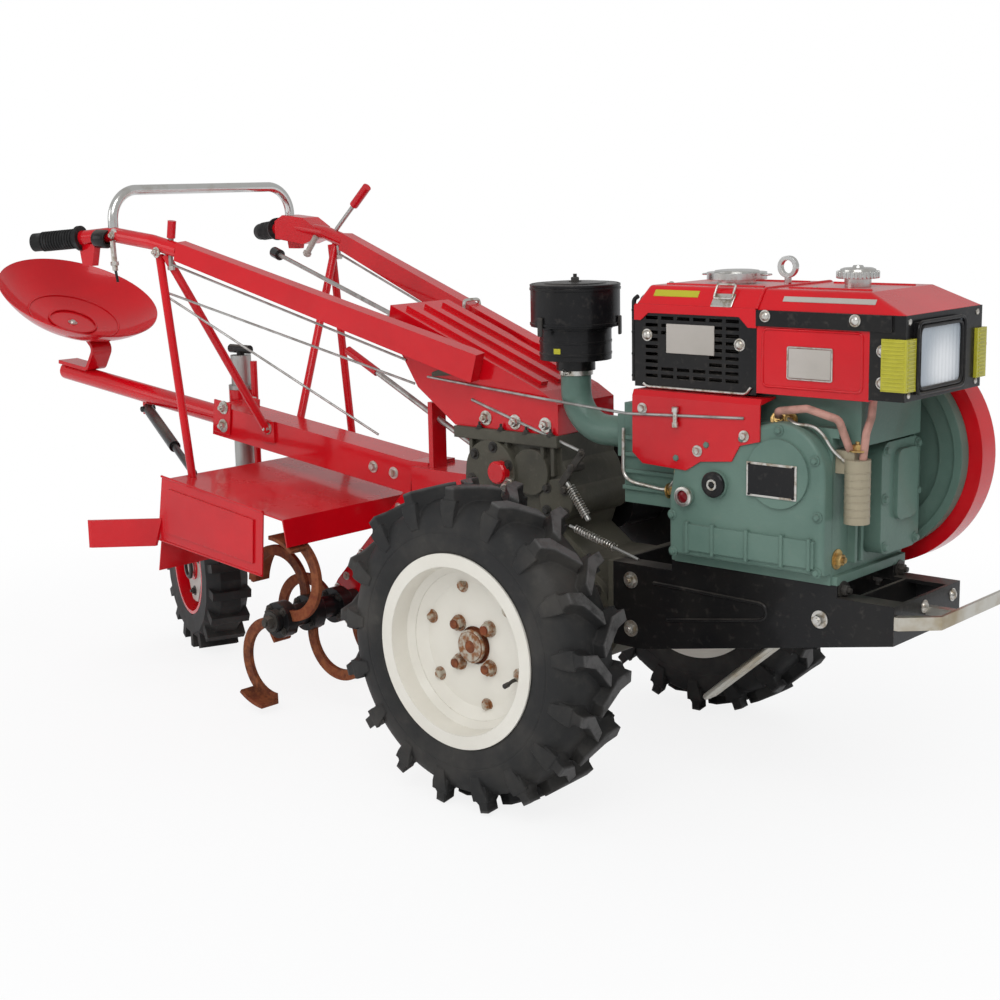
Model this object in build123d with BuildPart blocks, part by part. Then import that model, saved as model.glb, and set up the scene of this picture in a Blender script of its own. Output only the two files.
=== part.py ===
"""Walking tractor with a riding rotary tiller.

Millimetres, +X forward, +Y left, +Z up. The origin is on the ground, under the middle of the
machine's length. Every piece is drawn from the drive axle: x counts forward of the axle, z from
the ground and y from the middle plane.
"""
import math
import os

from build123d import *

os.makedirs("parts", exist_ok=True)

# ---- overall
nose_x = 734  # front face of the bumper strap
tail_x = -1828  # rear rim of the seat
axle_x = -(nose_x + tail_x) / 2  # drive axle, ahead of the origin
gap = 0.3  # between curved faces that seat on each other
run_fit = 0.06  # radial play of a shaft in its bore
sheet = 3
plate = 6

# ---- drive wheels
track = 720
tyre_r = 290
tyre_w = 136
tyre_wall = 14
carcass_r = 267
lug_count = 17
bead_in_w = 50
bead_r = 155
rim_r = 174  # over the flange
rim_t = 4
disc_t = 6
disc_inset = 57  # from the outer flange to the disc's outer face
hub_hole_r = 34
axle_r = 22
axle_flange_r = 68
axle_flange_t = 14
axle_end_r = 27
axle_end_out = 14
stud_circle_r = 50
stud_r = 8
stud_play = 1
stud_out = 18
stud_count = 4

# ---- gearbox
case_half_y = 80
case_top_z = 600
deck_t = 22
deck_rear_x = -295
deck_front_x = -36
deck_half_y = 95
final_r = 98
final_half_y = 72
tube_r = 44
tube_end_y = 302
nose_plate_x = 98
nose_plate_t = 12

# ---- chassis
rail_half_y = 115
rail_rear_x = nose_plate_x + nose_plate_t
rail_front_x = 674
rail_knee_x = 176
rail_top_z = 410
rail_low_z = 255
rail_front_low_z = 345
flange_w = 40
low_flange_w = 16
stand_x = 470
stand_z = 335
stand_pin_r = 8
stand_eye_r = 14
stand_rod_r = 6
stand_tip = (286, 177)  # x, z
stand_half_w = 22  # legs at the pin
stand_tip_half_w = 13
stand_y = -60

# ---- engine
bearer_h = 20
engine_low_z = rail_top_z + bearer_h
case_wall = 16
foot_t = 15
block_rear_x = 250
block_front_x = 560
block_half_y = 120
deck_z = 735  # top of the water jacket, which carries the hood
head_rear_x = 130
head_low_z = 520
head_top_z = 700
head_half_y = 105
gear_cover_t = 30
crank_x = 478
crank_z = 612
fly_r = 205
fly_inner_y = 140
fly_disc_t = 25
fly_rim_t = 50
fly_hub_r = 60
crank_r = 20
crank_in = 40
pulley_r = 85
belt_y = 242
belt_w = 40
belt_t = 9
pulley_lip_r = 8
pulley_lip_t = 6
clutch_x = -60
clutch_z = tyre_r + 180
clutch_r = 118
clutch_pin_r = 16

# ---- intake, exhaust and fuel
cleaner_x = -8
cleaner_y = -70
cleaner_r = 82
cleaner_low_r = 66
cleaner_z = 767
cleaner_step_z = 828
cleaner_top_z = 905
neck_r = 36
neck_h = 20
elbow_r = 28
elbow_bend_r = 72
elbow_z = 640
muffler_r = 42
filter_r = 21
filter_x = 594
filter_y = -98
filter_low_z = 535
filter_top_z = 640
fuel_hose_r = 6.5

# ---- hood, tank and lamp
hood_half_y = 130
hood_rear_x = 172
tank_rear_x = 421
tank_front_x = 628
tank_foot_h = 4
slot_w = 26
slot_h = 6
slot_pitch_x = 33
slot_rows = 9
lamp_front_x = 690
hood_top_z = 876
slot_pitch_z = (hood_top_z - deck_z - 41) / (slot_rows - 1)
cover_top_z = hood_top_z + 33
lamp_low_z = 742
strap_t = 4
eye_r = 11.5
hood_round = 9
eye_t = 9
strap_h = 26
lens_y = -24
lens_w = 150
lens_z = hood_top_z - 68
lens_h = 104

# ---- steering frame and handlebars
cover_half_y = 85
cover_wall = 4
bar_front = (-225, 98, 740)  # x, |y|, z
bar_rear = (-935, 240, 958)
bar_front_w, bar_front_h = 36, 56
bar_rear_w, bar_rear_h = 30, 40
bar_tube_r = 16
rail_x = -1140
rail_foot_y = 255
rail_tube_r = 11
rail_z = 1085
rail_bend_r = 65
grip_r = 20
grip_collar_r = 27
grip_front = (-1212, 283, 984)
grip_rear = (-1325, 326, 975)

# ---- seat and tool beam
beam_slope = 0.115
beam_front_x = -470
beam_front_z = 492
beam_rear_x = -1100
beam_w = 80
beam_h = 70
beam_wall = 4
seat_tube_r = 22
seat_tube_rear_x = -1722
strut_x = -1396  # pin of the depth strut, under the seat tube
strut_z = 562
seat_x = -1652
seat_z = 822
seat_r = 197
seat_depth = 75
seat_tilt = 27
seat_t = 4
leaf_w = 56
leaf_t = 9

# ---- tiller
rotor_x = -660
rotor_z = 204
rotor_r = 190
rotor_shaft_r = 24
rotor_half_y = 272
tiller_case_half_y = 34
hood_half_w = 297
tiller_rear_x = -948
tiller_front_x = -580
tiller_rear_z = 478
tiller_slope = 0.123
wall_low_x = -990
wall_low_z = 272
panel_proud = 4
notch_half_y = 150
notch_z = 404
foot_low_z = 330
foot_h = 60
foot_root_x = -960
foot_tip_x = -1088
foot_tip_y = 408

# ---- tail wheel
column_x = -1130
column_y = 75
column_r = 24
column_top_z = 700
screw_r = 8
screw_x = column_x + column_r + 7 + screw_r + 6  # lift screw, clear of the turning collars
tail_r = 195
tail_w = 100
tail_rim_r = 112
tail_rim_half_w = 47
tail_trail = 54
tail_offset = 92
tail_steer = -22  # degrees from straight ahead, seen from above
tail_axle_r = 12
tail_wall = 10
tail_bar_count = 18

at_axle = Plane((axle_x, 0, 0))


def across(y):
    """Plane whose x is forward and y is up, at this distance to the left, facing right."""
    return Plane((axle_x, y, 0), x_dir=(1, 0, 0), z_dir=(0, -1, 0))


def station(x):
    """Plane whose x is to the left and y is up, facing forward."""
    return Plane((axle_x + x, 0, 0), x_dir=(0, 1, 0), z_dir=(1, 0, 0))


def level(z):
    return Plane((axle_x, 0, z))


def save(piece, name):
    piece.part.label = name
    export_step(piece.part, f"parts/{name}.step")


def slab(x_span, y_span, z_span, mode=Mode.ADD):
    """Block between pairs of x, y and z."""
    centre = [(low + high) / 2 for low, high in (x_span, y_span, z_span)]
    size = [abs(high - low) for low, high in (x_span, y_span, z_span)]
    with Locations(tuple(centre)):
        Box(*size, mode=mode)


def lateral(x, z, radius, y_from, y_to, mode=Mode.ADD):
    """Cylinder across the machine."""
    with Locations(Plane((x, y_from, z), z_dir=(0, math.copysign(1, y_to - y_from), 0))):
        Cylinder(radius, abs(y_to - y_from), align=(Align.CENTER, Align.CENTER, Align.MIN), mode=mode)


def round_bar(start, end, radius, mode=Mode.ADD):
    run = Vector(end) - Vector(start)
    with Locations(Plane(start, z_dir=run)):
        Cylinder(radius, run.length, align=(Align.CENTER, Align.CENTER, Align.MIN), mode=mode)


def bent_bar(points, bend_r, radius):
    """Round bar along straight runs joined by arcs."""
    with BuildLine(at_axle, mode=Mode.PRIVATE) as route:
        FilletPolyline(*points, radius=bend_r)
    with BuildSketch(Plane(route.line @ 0, z_dir=route.line % 0), mode=Mode.PRIVATE) as ring:
        Circle(radius)
    sweep(ring.sketch, path=route.line)


def outline(plane, points, amount, mode=Mode.ADD):
    """Plate with this outline, thickened along the plane's normal."""
    with BuildSketch(plane, mode=Mode.PRIVATE) as face:
        Polygon(*points, align=None)
    extrude(face.sketch, amount=amount, mode=mode)


def cut_by(piece):
    """Take another piece's solid away, so that the two meet face to face."""
    with Locations(at_axle.location.inverse()):
        add(piece.part, mode=Mode.SUBTRACT)


def beam_z(x):
    """Height of the tool beam's axis."""
    return beam_front_z + beam_slope * (beam_front_x - x)


# =================================================================== drive wheels
tyre_half = tyre_w / 2
# half width, radius of the carcass, inside the lugs
tyre_outline = [(60, bead_r), (tyre_half, 200), (64, 244), (26, carcass_r)]
tyre_hollow = [(bead_in_w, bead_r - 5), (bead_in_w, carcass_r - tyre_wall - 10)]
# distance outboard of the middle plane, radius: the side the tyre sits on, then the side of the axle
rim_outside = [(64, rim_r), (64, 154), (30, 150), (20, 138),
               (-20, 138), (-30, 150), (-64, 154), (-64, rim_r)]
rim_inside = [(-68, rim_r), (-68, 150), (-33, 146), (-23, 134),
              (23, 134), (33, 146), (68, 150), (68, rim_r)]
disc_out = tyre_half - disc_inset
disc_outline = [(16, 135), (22, 135), (disc_out, 112), (disc_out, hub_hole_r),
                (disc_out - disc_t, hub_hole_r), (disc_out - disc_t, 112)]



def faceted_tyre(middle, outline_points, hollow_points, sides):
    """Tyre of flat facets round a cross axle, from (distance from the middle plane, radius) points."""
    with BuildPart() as sector:
        for edge in (-math.pi / sides, math.pi / sides):
            section = Plane(middle, x_dir=(0, 1, 0), z_dir=(math.sin(edge), 0, -math.cos(edge)))
            with BuildSketch(section):
                for points, mode in ((outline_points, Mode.ADD), (hollow_points, Mode.SUBTRACT)):
                    Polygon(*points, *[(-y, r) for y, r in reversed(points)], align=None, mode=mode)
        loft(ruled=True)
    return [sector.part.rotate(Axis(middle, (0, 1, 0)), side * 360 / sides) for side in range(sides)]


# at the lug's foot and on its top: distance from the middle plane, place along the tread
lug_foot = [(-10, -58), (34, -22), (66, -14), (66, 30), (28, 26), (-10, -16)]
lug_top = [(-7, -52), (35, -13), (64, -5), (64, 20), (28, 15), (-7, -26)]
lug_top_r = math.sqrt(tyre_r ** 2 - lug_top[0][1] ** 2)


def tyre_lugs(middle, half):
    """Bent tread bars on one half of the tyre, from the middle plane out, noses down in front."""
    with BuildPart() as lug:
        for radius, points in ((carcass_r - 18, lug_foot), (lug_top_r, lug_top)):
            with BuildSketch(Plane(middle + Vector(radius, 0, 0), x_dir=(0, half, 0), z_dir=(half, 0, 0))):
                Polygon(*points, align=None)
        loft(ruled=True)
    return [lug.part.rotate(Axis(middle, (0, 1, 0)), (count + half / 4) * 360 / lug_count)
            for count in range(lug_count)]


stud_places = []
for count in range(stud_count):
    turned = math.radians(45 + 360 / stud_count * count)
    stud_places.append((stud_circle_r * math.cos(turned), tyre_r + stud_circle_r * math.sin(turned)))

right_middle = Vector(axle_x, -track / 2, tyre_r)
with BuildPart() as right_tyre:
    add(faceted_tyre(right_middle, tyre_outline, tyre_hollow, 2 * lug_count)
        + tyre_lugs(right_middle, -1) + tyre_lugs(right_middle, 1))

for side, name in ((-1, "right"), (1, "left")):
    middle_y = side * track / 2
    wheel_axis = Axis((axle_x, 0, tyre_r), (0, 1, 0))

    def wheel_points(points):
        return [(middle_y + side * y, tyre_r + r) for y, r in points]

    with BuildPart() as tyre:
        add(right_tyre.part if side < 0 else mirror(right_tyre.part, about=Plane.XZ, mode=Mode.PRIVATE))
    save(tyre, f"{name}_tyre")

    with BuildPart(at_axle) as rim:
        with BuildSketch(station(0)):
            Polygon(*wheel_points(rim_outside + rim_inside), align=None)
            Polygon(*wheel_points(disc_outline), align=None)
        revolve(axis=wheel_axis)
        for x, z in stud_places:
            lateral(x, z, stud_r + stud_play, middle_y, middle_y + side * tyre_half, mode=Mode.SUBTRACT)
    save(rim, f"{name}_rim")

    disc_y = middle_y + side * disc_out
    back_y = disc_y - side * disc_t
    with BuildPart(at_axle) as axle:
        lateral(0, tyre_r, axle_flange_r, back_y, back_y - side * axle_flange_t)
        lateral(0, tyre_r, axle_r, back_y, side * (final_half_y + 20))
        lateral(0, tyre_r, axle_end_r, back_y, disc_y + side * axle_end_out)
        for x, z in stud_places:
            lateral(x, z, stud_r, back_y, disc_y + side * stud_out)
    save(axle, f"{name}_axle")

# =================================================================== gearbox
# x, z, radius and half length of the round swellings on the gearbox
gearbox_lobes = [(-200, 540, 62, 98), (-105, 548, 44, 92), (-45, 500, 40, 88), (-160, 430, 52, 92)]
with BuildPart(at_axle) as gearbox:
    with BuildSketch(across(case_half_y)):
        with Locations((-200, 520), (-95, 520)):
            Circle(80)
        with Locations((-150, 420)):
            Circle(95)
        make_hull()
    extrude(amount=2 * case_half_y)
    with BuildSketch(across(final_half_y)):
        with Locations((-150, 430)):
            Circle(70)
        with Locations((0, tyre_r)):
            Circle(final_r)
        make_hull()
    extrude(amount=2 * final_half_y)
    slab((deck_rear_x, deck_front_x), (-deck_half_y, deck_half_y), (case_top_z, case_top_z + deck_t))
    slab((deck_rear_x + 30, deck_front_x), (-case_half_y, case_half_y), (520, case_top_z))
    slab((-60, nose_plate_x), (-final_half_y, final_half_y), (rail_low_z, 400))
    slab((nose_plate_x, nose_plate_x + nose_plate_t), (-rail_half_y, rail_half_y), (rail_low_z, rail_top_z))
    for x, z, radius, reach in gearbox_lobes:
        lateral(x, z, radius, -reach, reach)
    for x in (-255, -225, -165, -75, -50):
        slab((x - 4, x + 4), (-deck_half_y + 4, deck_half_y - 4), (545, case_top_z))
    lateral(0, tyre_r, final_r - 14, -final_half_y - 16, final_half_y + 16)
    lateral(0, tyre_r, tube_r, -tube_end_y, tube_end_y)
    lateral(clutch_x, clutch_z, clutch_pin_r, case_half_y, belt_y + belt_w / 2 + 14)
    for side in (-1, 1):
        lateral(0, tyre_r, axle_r + run_fit, side * (final_half_y + 20 - gap), side * tube_end_y,
                mode=Mode.SUBTRACT)
save(gearbox, "gearbox")

# =================================================================== chassis and stand
with BuildPart(at_axle) as chassis:
    outline(across(-rail_half_y), [(rail_rear_x, rail_top_z), (rail_front_x, rail_top_z),
                                   (rail_front_x, rail_front_low_z), (rail_knee_x, rail_low_z),
                                   (rail_rear_x, rail_low_z)], -plate)
    low_flange = [(rail_knee_x, rail_low_z + plate), (rail_knee_x, rail_low_z),
                  (rail_front_x, rail_front_low_z), (rail_front_x, rail_front_low_z + plate)]
    outline(across(-rail_half_y), low_flange, -plate - low_flange_w)
    slab((rail_rear_x, rail_front_x), (-rail_half_y, -rail_half_y + flange_w),
         (rail_top_z - plate, rail_top_z))
    slab((block_rear_x - 10, block_front_x + 10), (-rail_half_y, -rail_half_y + flange_w),
         (rail_top_z, engine_low_z))
    mirror(about=Plane.XZ)
    slab((rail_front_x - plate, rail_front_x), (-rail_half_y, rail_half_y), (rail_front_low_z, rail_top_z))
    slab((rail_rear_x, rail_rear_x + plate), (-rail_half_y, rail_half_y), (rail_low_z, rail_top_z))
    slab((590, 590 + plate), (-rail_half_y, rail_half_y), (370, rail_top_z))
    lateral(stand_x, stand_z, stand_pin_r, -rail_half_y + 1, rail_half_y - 1)
save(chassis, "chassis")

with BuildPart(at_axle) as stand:
    lateral(stand_x, stand_z, stand_eye_r, stand_y - stand_half_w - 8, stand_y + stand_half_w + 8)
    tip_x, tip_z = stand_tip
    for lean in (-1, 1):
        round_bar((stand_x, stand_y + lean * stand_half_w, stand_z),
                  (tip_x, stand_y + lean * stand_tip_half_w, tip_z), stand_rod_r)
        with Locations((tip_x, stand_y + lean * stand_tip_half_w, tip_z)):
            Sphere(stand_rod_r)
    lateral(tip_x, tip_z, stand_rod_r, stand_y - stand_tip_half_w, stand_y + stand_tip_half_w)
    lateral(stand_x, stand_z, stand_pin_r + run_fit, -rail_half_y, rail_half_y, mode=Mode.SUBTRACT)
save(stand, "front_stand")

with BuildPart(at_axle) as strap:
    # x, y
    with BuildSketch(level(372)):
        with BuildLine():
            Polyline((rail_front_x, -rail_half_y), (rail_front_x, -rail_half_y + 14), (nose_x - 6, -62),
                     (nose_x - 6, 176), (nose_x, 176), (nose_x, -68), (rail_front_x + 8, -rail_half_y),
                     close=True)
        make_face()
    extrude(amount=22)
    slab((rail_front_x, nose_x - 6), (-8, 8), (376, 390))
save(strap, "bumper_strap")

# =================================================================== engine
with BuildPart(at_axle) as engine:
    slab((block_rear_x, block_front_x), (-block_half_y, block_half_y), (engine_low_z, 690))
    slab((block_rear_x - 10, block_front_x + 10), (-rail_half_y, rail_half_y),
         (engine_low_z, engine_low_z + foot_t))
    slab((200, 600), (-100, 100), (660, deck_z))
    slab((block_rear_x + case_wall, block_front_x - case_wall),
         (-block_half_y + case_wall, block_half_y - case_wall),
         (engine_low_z + case_wall, 690 - case_wall), mode=Mode.SUBTRACT)
    slab((head_rear_x, block_rear_x), (-head_half_y, head_half_y), (head_low_z, head_top_z))
    with BuildSketch(station(block_front_x)) as front_cover:
        with Locations((48, 560)):
            RectangleRounded(132, 190, 24)
    extrude(front_cover.sketch, amount=34)
    with BuildSketch(station(block_front_x + 34)) as front_boss:
        with Locations((58, 580)):
            RectangleRounded(70, 120, 16)
    extrude(front_boss.sketch, amount=8)
    slab((block_front_x, block_front_x + 12), (-block_half_y, block_half_y), (674, 690))
    for y in (-62, -42):
        slab((block_front_x, block_front_x + 14), (y - 4, y + 4), (460, 660))
    for z in (545, 575, 605, 635):
        slab((head_rear_x, block_rear_x), (-head_half_y - 7, head_half_y + 7), (z, z + 7))
    slab((head_rear_x - 30, head_rear_x), (-26, 85), (548, 672))
    lateral(crank_x, crank_z, 88, block_half_y, fly_inner_y - 5)
    lateral(crank_x, crank_z, crank_r + run_fit, fly_inner_y - crank_in, fly_inner_y, mode=Mode.SUBTRACT)
save(engine, "engine_block")

with BuildPart(at_axle) as gear_cover:
    with BuildSketch(across(-block_half_y)):
        with Locations((338, 588)):
            Circle(72)
        with Locations((crank_x, crank_z)):
            Circle(84)
        with Locations((410, 500)):
            Rectangle(304, 100)
        make_hull()
    extrude(amount=gear_cover_t)
    fillet(gear_cover.faces().sort_by(Axis.Y)[0].edges(), radius=8)
    cover_face_y = -block_half_y - gear_cover_t
    slab((292, 548), (cover_face_y - 5, cover_face_y), (462, 508))
    for x in (300, 352, 420, 488, 540):
        slab((x - 3, x + 3), (cover_face_y - 8, cover_face_y), (458, 512))
    lateral(crank_x, crank_z, 58, cover_face_y, cover_face_y - 5)
    lateral(357, 583, 24, -block_half_y - gear_cover_t, -block_half_y - gear_cover_t - 8)
    lateral(296, 556, 17, -block_half_y - gear_cover_t, -block_half_y - gear_cover_t - 7)
save(gear_cover, "gear_cover")

shield_y = -block_half_y - gear_cover_t
with BuildPart(at_axle) as shield:
    outline(across(shield_y), [(183, 722), (443, 722), (443, 662), (404, 652), (388, 624), (326, 618),
                               (296, 600), (205, 604), (183, 622)], sheet)
    with BuildSketch(station(183)):
        Polygon((shield_y - sheet, 722), (shield_y, 722), (-head_half_y, deck_z - 3 - sheet),
                (-head_half_y, deck_z - 3), (shield_y + 2, deck_z - 3), align=None)
    extrude(amount=260)
save(shield, "head_shield")

with BuildPart(at_axle) as elbow:
    bent_bar([(cleaner_x, cleaner_y, cleaner_z - neck_h), (cleaner_x, cleaner_y, elbow_z),
              (head_rear_x, cleaner_y, elbow_z)], elbow_bend_r, elbow_r)
    with Locations((head_rear_x - 8, cleaner_y, elbow_z)):
        Box(16, 68, 76)
save(elbow, "intake_elbow")

with BuildPart(at_axle) as cleaner:
    drums = [  # radius, from z, to z
        (neck_r, cleaner_z - neck_h, cleaner_z),
        (cleaner_low_r, cleaner_z, cleaner_step_z),
        (cleaner_r, cleaner_step_z, cleaner_top_z),
    ]
    for radius, z_from, z_to in drums:
        with Locations((cleaner_x, cleaner_y, z_from)):
            Cylinder(radius, z_to - z_from, align=(Align.CENTER, Align.CENTER, Align.MIN))
    fillet(cleaner.edges().sort_by(Axis.Z)[-1], radius=8)
    with Locations((cleaner_x, cleaner_y, cleaner_z + sheet)):
        Cylinder(cleaner_low_r - sheet, cleaner_top_z - cleaner_z - 2 * sheet,
                 align=(Align.CENTER, Align.CENTER, Align.MIN), mode=Mode.SUBTRACT)
save(cleaner, "air_cleaner")

with BuildPart(at_axle) as muffler:
    round_bar((50, 152, 676), (206, 152, 676), muffler_r)
    round_bar((50, 152, 676), (5, 152, 676), 14)
    slab((160, 196), (head_half_y, 125), (655, 690))
save(muffler, "muffler")

with BuildPart(at_axle) as fuel_filter:
    with Locations((filter_x, filter_y, filter_low_z)):
        Cylinder(filter_r, filter_top_z - filter_low_z, align=(Align.CENTER, Align.CENTER, Align.MIN))
    slab((block_front_x, filter_x), (filter_y - 12, filter_y + 12), (filter_top_z - 24, filter_top_z + 14))
save(fuel_filter, "fuel_filter")

# =================================================================== flywheel, clutch pulley, belts
fly_mid_y = fly_inner_y + fly_disc_t
fly_outer_y = fly_mid_y + fly_rim_t
pulley_end_y = belt_y + belt_w / 2 + 2 + pulley_lip_t


def belt_pulley(x, z, radius, y_from, y_to):
    lateral(x, z, radius, y_from, y_to)
    for edge_y in (belt_y - belt_w / 2 - 2 - pulley_lip_t, belt_y + belt_w / 2 + 2):
        lateral(x, z, radius + belt_t + pulley_lip_r, edge_y, edge_y + pulley_lip_t)


with BuildPart(at_axle) as flywheel:
    lateral(crank_x, crank_z, fly_r - 25, fly_inner_y, fly_mid_y)
    for radius, depth in ((fly_r - 40, 6), (fly_r - 70, 13)):
        lateral(crank_x, crank_z, radius, fly_inner_y, fly_inner_y + depth, mode=Mode.SUBTRACT)
    lateral(crank_x, crank_z, 90, fly_inner_y, fly_inner_y + fly_disc_t - 5)
    lateral(crank_x, crank_z, fly_hub_r, fly_inner_y, fly_outer_y)
    lateral(crank_x, crank_z, crank_r, fly_inner_y - crank_in + gap, fly_inner_y)
    belt_pulley(crank_x, crank_z, pulley_r, fly_outer_y, pulley_end_y)
save(flywheel, "flywheel")

with BuildPart(at_axle) as fly_rim:
    lateral(crank_x, crank_z, fly_r, fly_mid_y, fly_outer_y)
    lateral(crank_x, crank_z, fly_r - 28, fly_mid_y + 10, fly_outer_y, mode=Mode.SUBTRACT)
    lateral(crank_x, crank_z, fly_hub_r, fly_mid_y, fly_outer_y, mode=Mode.SUBTRACT)
save(fly_rim, "flywheel_rim")

with BuildPart(at_axle) as clutch:
    belt_pulley(clutch_x, clutch_z, clutch_r, belt_y - belt_w / 2 - 2, pulley_end_y)
    lateral(clutch_x, clutch_z, clutch_r - 12, belt_y - 4, pulley_end_y + 1, mode=Mode.SUBTRACT)
    lateral(clutch_x, clutch_z, 56, case_half_y + 18, pulley_end_y)
    lateral(clutch_x, clutch_z, clutch_pin_r + run_fit, case_half_y, pulley_end_y + 5, mode=Mode.SUBTRACT)
save(clutch, "clutch_pulley")

with BuildPart(at_axle) as belts:
    with BuildSketch(across(belt_y + belt_w / 2)):
        for grow, mode in ((belt_t, Mode.ADD), (gap, Mode.SUBTRACT)):
            with BuildSketch(mode=Mode.PRIVATE) as loop:
                with Locations((crank_x, crank_z)):
                    Circle(pulley_r + grow)
                with Locations((clutch_x, clutch_z)):
                    Circle(clutch_r + grow)
                make_hull()
            add(loop.sketch, mode=mode)
    extrude(amount=belt_w)
save(belts, "drive_belts")

# =================================================================== hood, tank and lamp
with BuildPart(at_axle) as radiator:
    slab((hood_rear_x, tank_rear_x), (-hood_half_y, hood_half_y), (deck_z, hood_top_z))
    slab((hood_rear_x + sheet, tank_rear_x - sheet), (-hood_half_y + sheet, hood_half_y - sheet),
         (deck_z, hood_top_z), mode=Mode.SUBTRACT)
    slots = []
    for row in range(slot_rows):
        for column in range(6):
            if not (2 <= row <= 5 and 1 <= column <= 3):  # the label's place
                slots.append((208 + slot_pitch_x * column, 0, deck_z + 20 + slot_pitch_z * row))
    with Locations(*slots):
        Box(slot_w, 3 * hood_half_y, slot_h, mode=Mode.SUBTRACT)
save(radiator, "radiator_guard")

with BuildPart(at_axle) as tank:
    slab((tank_rear_x, tank_front_x), (-hood_half_y, hood_half_y), (deck_z + tank_foot_h, hood_top_z))
    slab((tank_rear_x + sheet, tank_front_x - sheet), (-hood_half_y + sheet, hood_half_y - sheet),
         (deck_z + tank_foot_h + sheet, hood_top_z - sheet), mode=Mode.SUBTRACT)
    slab((tank_rear_x + 10, tank_front_x - 28), (-100, 100), (deck_z, deck_z + tank_foot_h))
save(tank, "fuel_tank")

with BuildPart(at_axle) as hood:
    for inset, mode in ((0, Mode.ADD), (sheet, Mode.SUBTRACT)):
        with BuildSketch(level(hood_top_z)) as foot:
            with Locations(((hood_rear_x + lamp_front_x) / 2, 0)):
                Rectangle(lamp_front_x - hood_rear_x - 2 * inset, 2 * hood_half_y - 2 * inset)
        with BuildSketch(level(cover_top_z - inset)) as crown:
            with Locations(((hood_rear_x + 14 + tank_front_x - 14) / 2, 0)):
                Rectangle(tank_front_x - hood_rear_x - 28 - 2 * inset, 2 * hood_half_y - 48 - 2 * inset)
        loft(mode=mode)
        if mode == Mode.ADD:
            fillet(hood.edges().filter_by(lambda edge: edge.center().Z > hood_top_z + 1), radius=hood_round)
    # lip over the grille: x, height below the hood
    lip = [(hood_rear_x, 0), (tank_rear_x, 0), (tank_rear_x, -30), (tank_rear_x - 16, -30),
           (tank_rear_x - 34, -13), (hood_rear_x + 30, -13), (hood_rear_x + 14, -26), (hood_rear_x, -26)]
    for side in (-1, 1):
        outline(across(side * (hood_half_y + gap)), [(x, hood_top_z + drop) for x, drop in lip], -side * 2)
        slab((hood_rear_x + 2, tank_rear_x - 2),
             (side * (hood_half_y - sheet), side * (hood_half_y + gap + 2)), (hood_top_z, hood_top_z + 2))
save(hood, "hood_top")

with BuildPart(at_axle) as caps:
    for x, radius, height, stem_r in ((296, 52, 19, 34), (532, 34, 26, 22)):
        with Locations((x, 0, cover_top_z)):
            Cylinder(stem_r, height, align=(Align.CENTER, Align.CENTER, Align.MIN))
        with Locations((x, 0, cover_top_z + height - 12)):
            Cylinder(radius, 12, align=(Align.CENTER, Align.CENTER, Align.MIN))
    with Locations((399, 0, cover_top_z)):
        Cylinder(6, 14, align=(Align.CENTER, Align.CENTER, Align.MIN))
    lateral(399, cover_top_z + 30, eye_r + 7, -eye_t / 2, eye_t / 2)
    lateral(399, cover_top_z + 30, eye_r, -eye_t, eye_t, mode=Mode.SUBTRACT)
save(caps, "filler_caps")

with BuildPart(at_axle) as lamp:
    slab((tank_front_x, lamp_front_x), (-hood_half_y, hood_half_y), (lamp_low_z, hood_top_z))
    slab((tank_front_x, lamp_front_x - sheet), (-hood_half_y + sheet, hood_half_y - sheet),
         (lamp_low_z + sheet, hood_top_z - sheet), mode=Mode.SUBTRACT)
    slab((lamp_front_x - sheet, lamp_front_x), (lens_y - lens_w / 2, lens_y + lens_w / 2),
         (lens_z - lens_h / 2, lens_z + lens_h / 2), mode=Mode.SUBTRACT)
    for side in (-1, 1):
        slab((tank_rear_x, tank_front_x + 40), (side * hood_half_y, side * (hood_half_y + strap_t)),
             (hood_top_z - strap_h, hood_top_z))
    for grow, mode in ((4, Mode.ADD), (0, Mode.SUBTRACT)):
        slab((lamp_front_x - 1, lamp_front_x + 5),
             (lens_y - lens_w / 2 - grow, lens_y + lens_w / 2 + grow),
             (lens_z - lens_h / 2 - grow, lens_z + lens_h / 2 + grow), mode=mode)
save(lamp, "lamp_housing")

with BuildPart(at_axle) as lens:
    slab((lamp_front_x - 24, lamp_front_x + 4), (lens_y - lens_w / 2 + gap, lens_y + lens_w / 2 - gap),
         (lens_z - lens_h / 2 + gap, lens_z + lens_h / 2 - gap))
save(lens, "headlamp")

with BuildPart(at_axle) as side_lamps:
    for side in (-1, 1):
        slab((652, 696), (side * hood_half_y, side * (hood_half_y + 7)), (758, 840))
        slab((lamp_front_x, 696), (side * hood_half_y, side * (hood_half_y - 26)), (758, 840))
save(side_lamps, "side_lamps")

# =================================================================== steering frame and handlebars
frame_low_z = case_top_z + deck_t
frame_rear_x = -478
# x, z
frame_outline = [(-40, frame_low_z), (-40, 680), (-78, 702), (-470, 850), (frame_rear_x, 806), (-400, 690),
                 (-300, frame_low_z)]
with BuildPart(at_axle) as steering:
    outline(across(cover_half_y), frame_outline, 2 * cover_half_y)
    with BuildSketch(across(cover_half_y - cover_wall)):
        Polygon((-40 - cover_wall, frame_low_z - 1), (-40 - cover_wall, 674), (-78, 692), (-462, 838),
                (-470, 806), (-396, 694), (-292, frame_low_z - 1), align=None)
    extrude(amount=2 * (cover_half_y - cover_wall), mode=Mode.SUBTRACT)
    slope = Vector(-470 + 78, 0, 850 - 702)
    slope_up = Vector(-slope.Z, 0, slope.X).normalized() * -1
    with Locations(Plane(Vector(-274, 0, 776) + slope_up * 2, x_dir=slope, z_dir=slope_up)):
        with Locations((0, -52, 0), (0, 0, 0), (0, 52, 0)):
            Box(372, 20, 10)
save(steering, "steering_frame")

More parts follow.
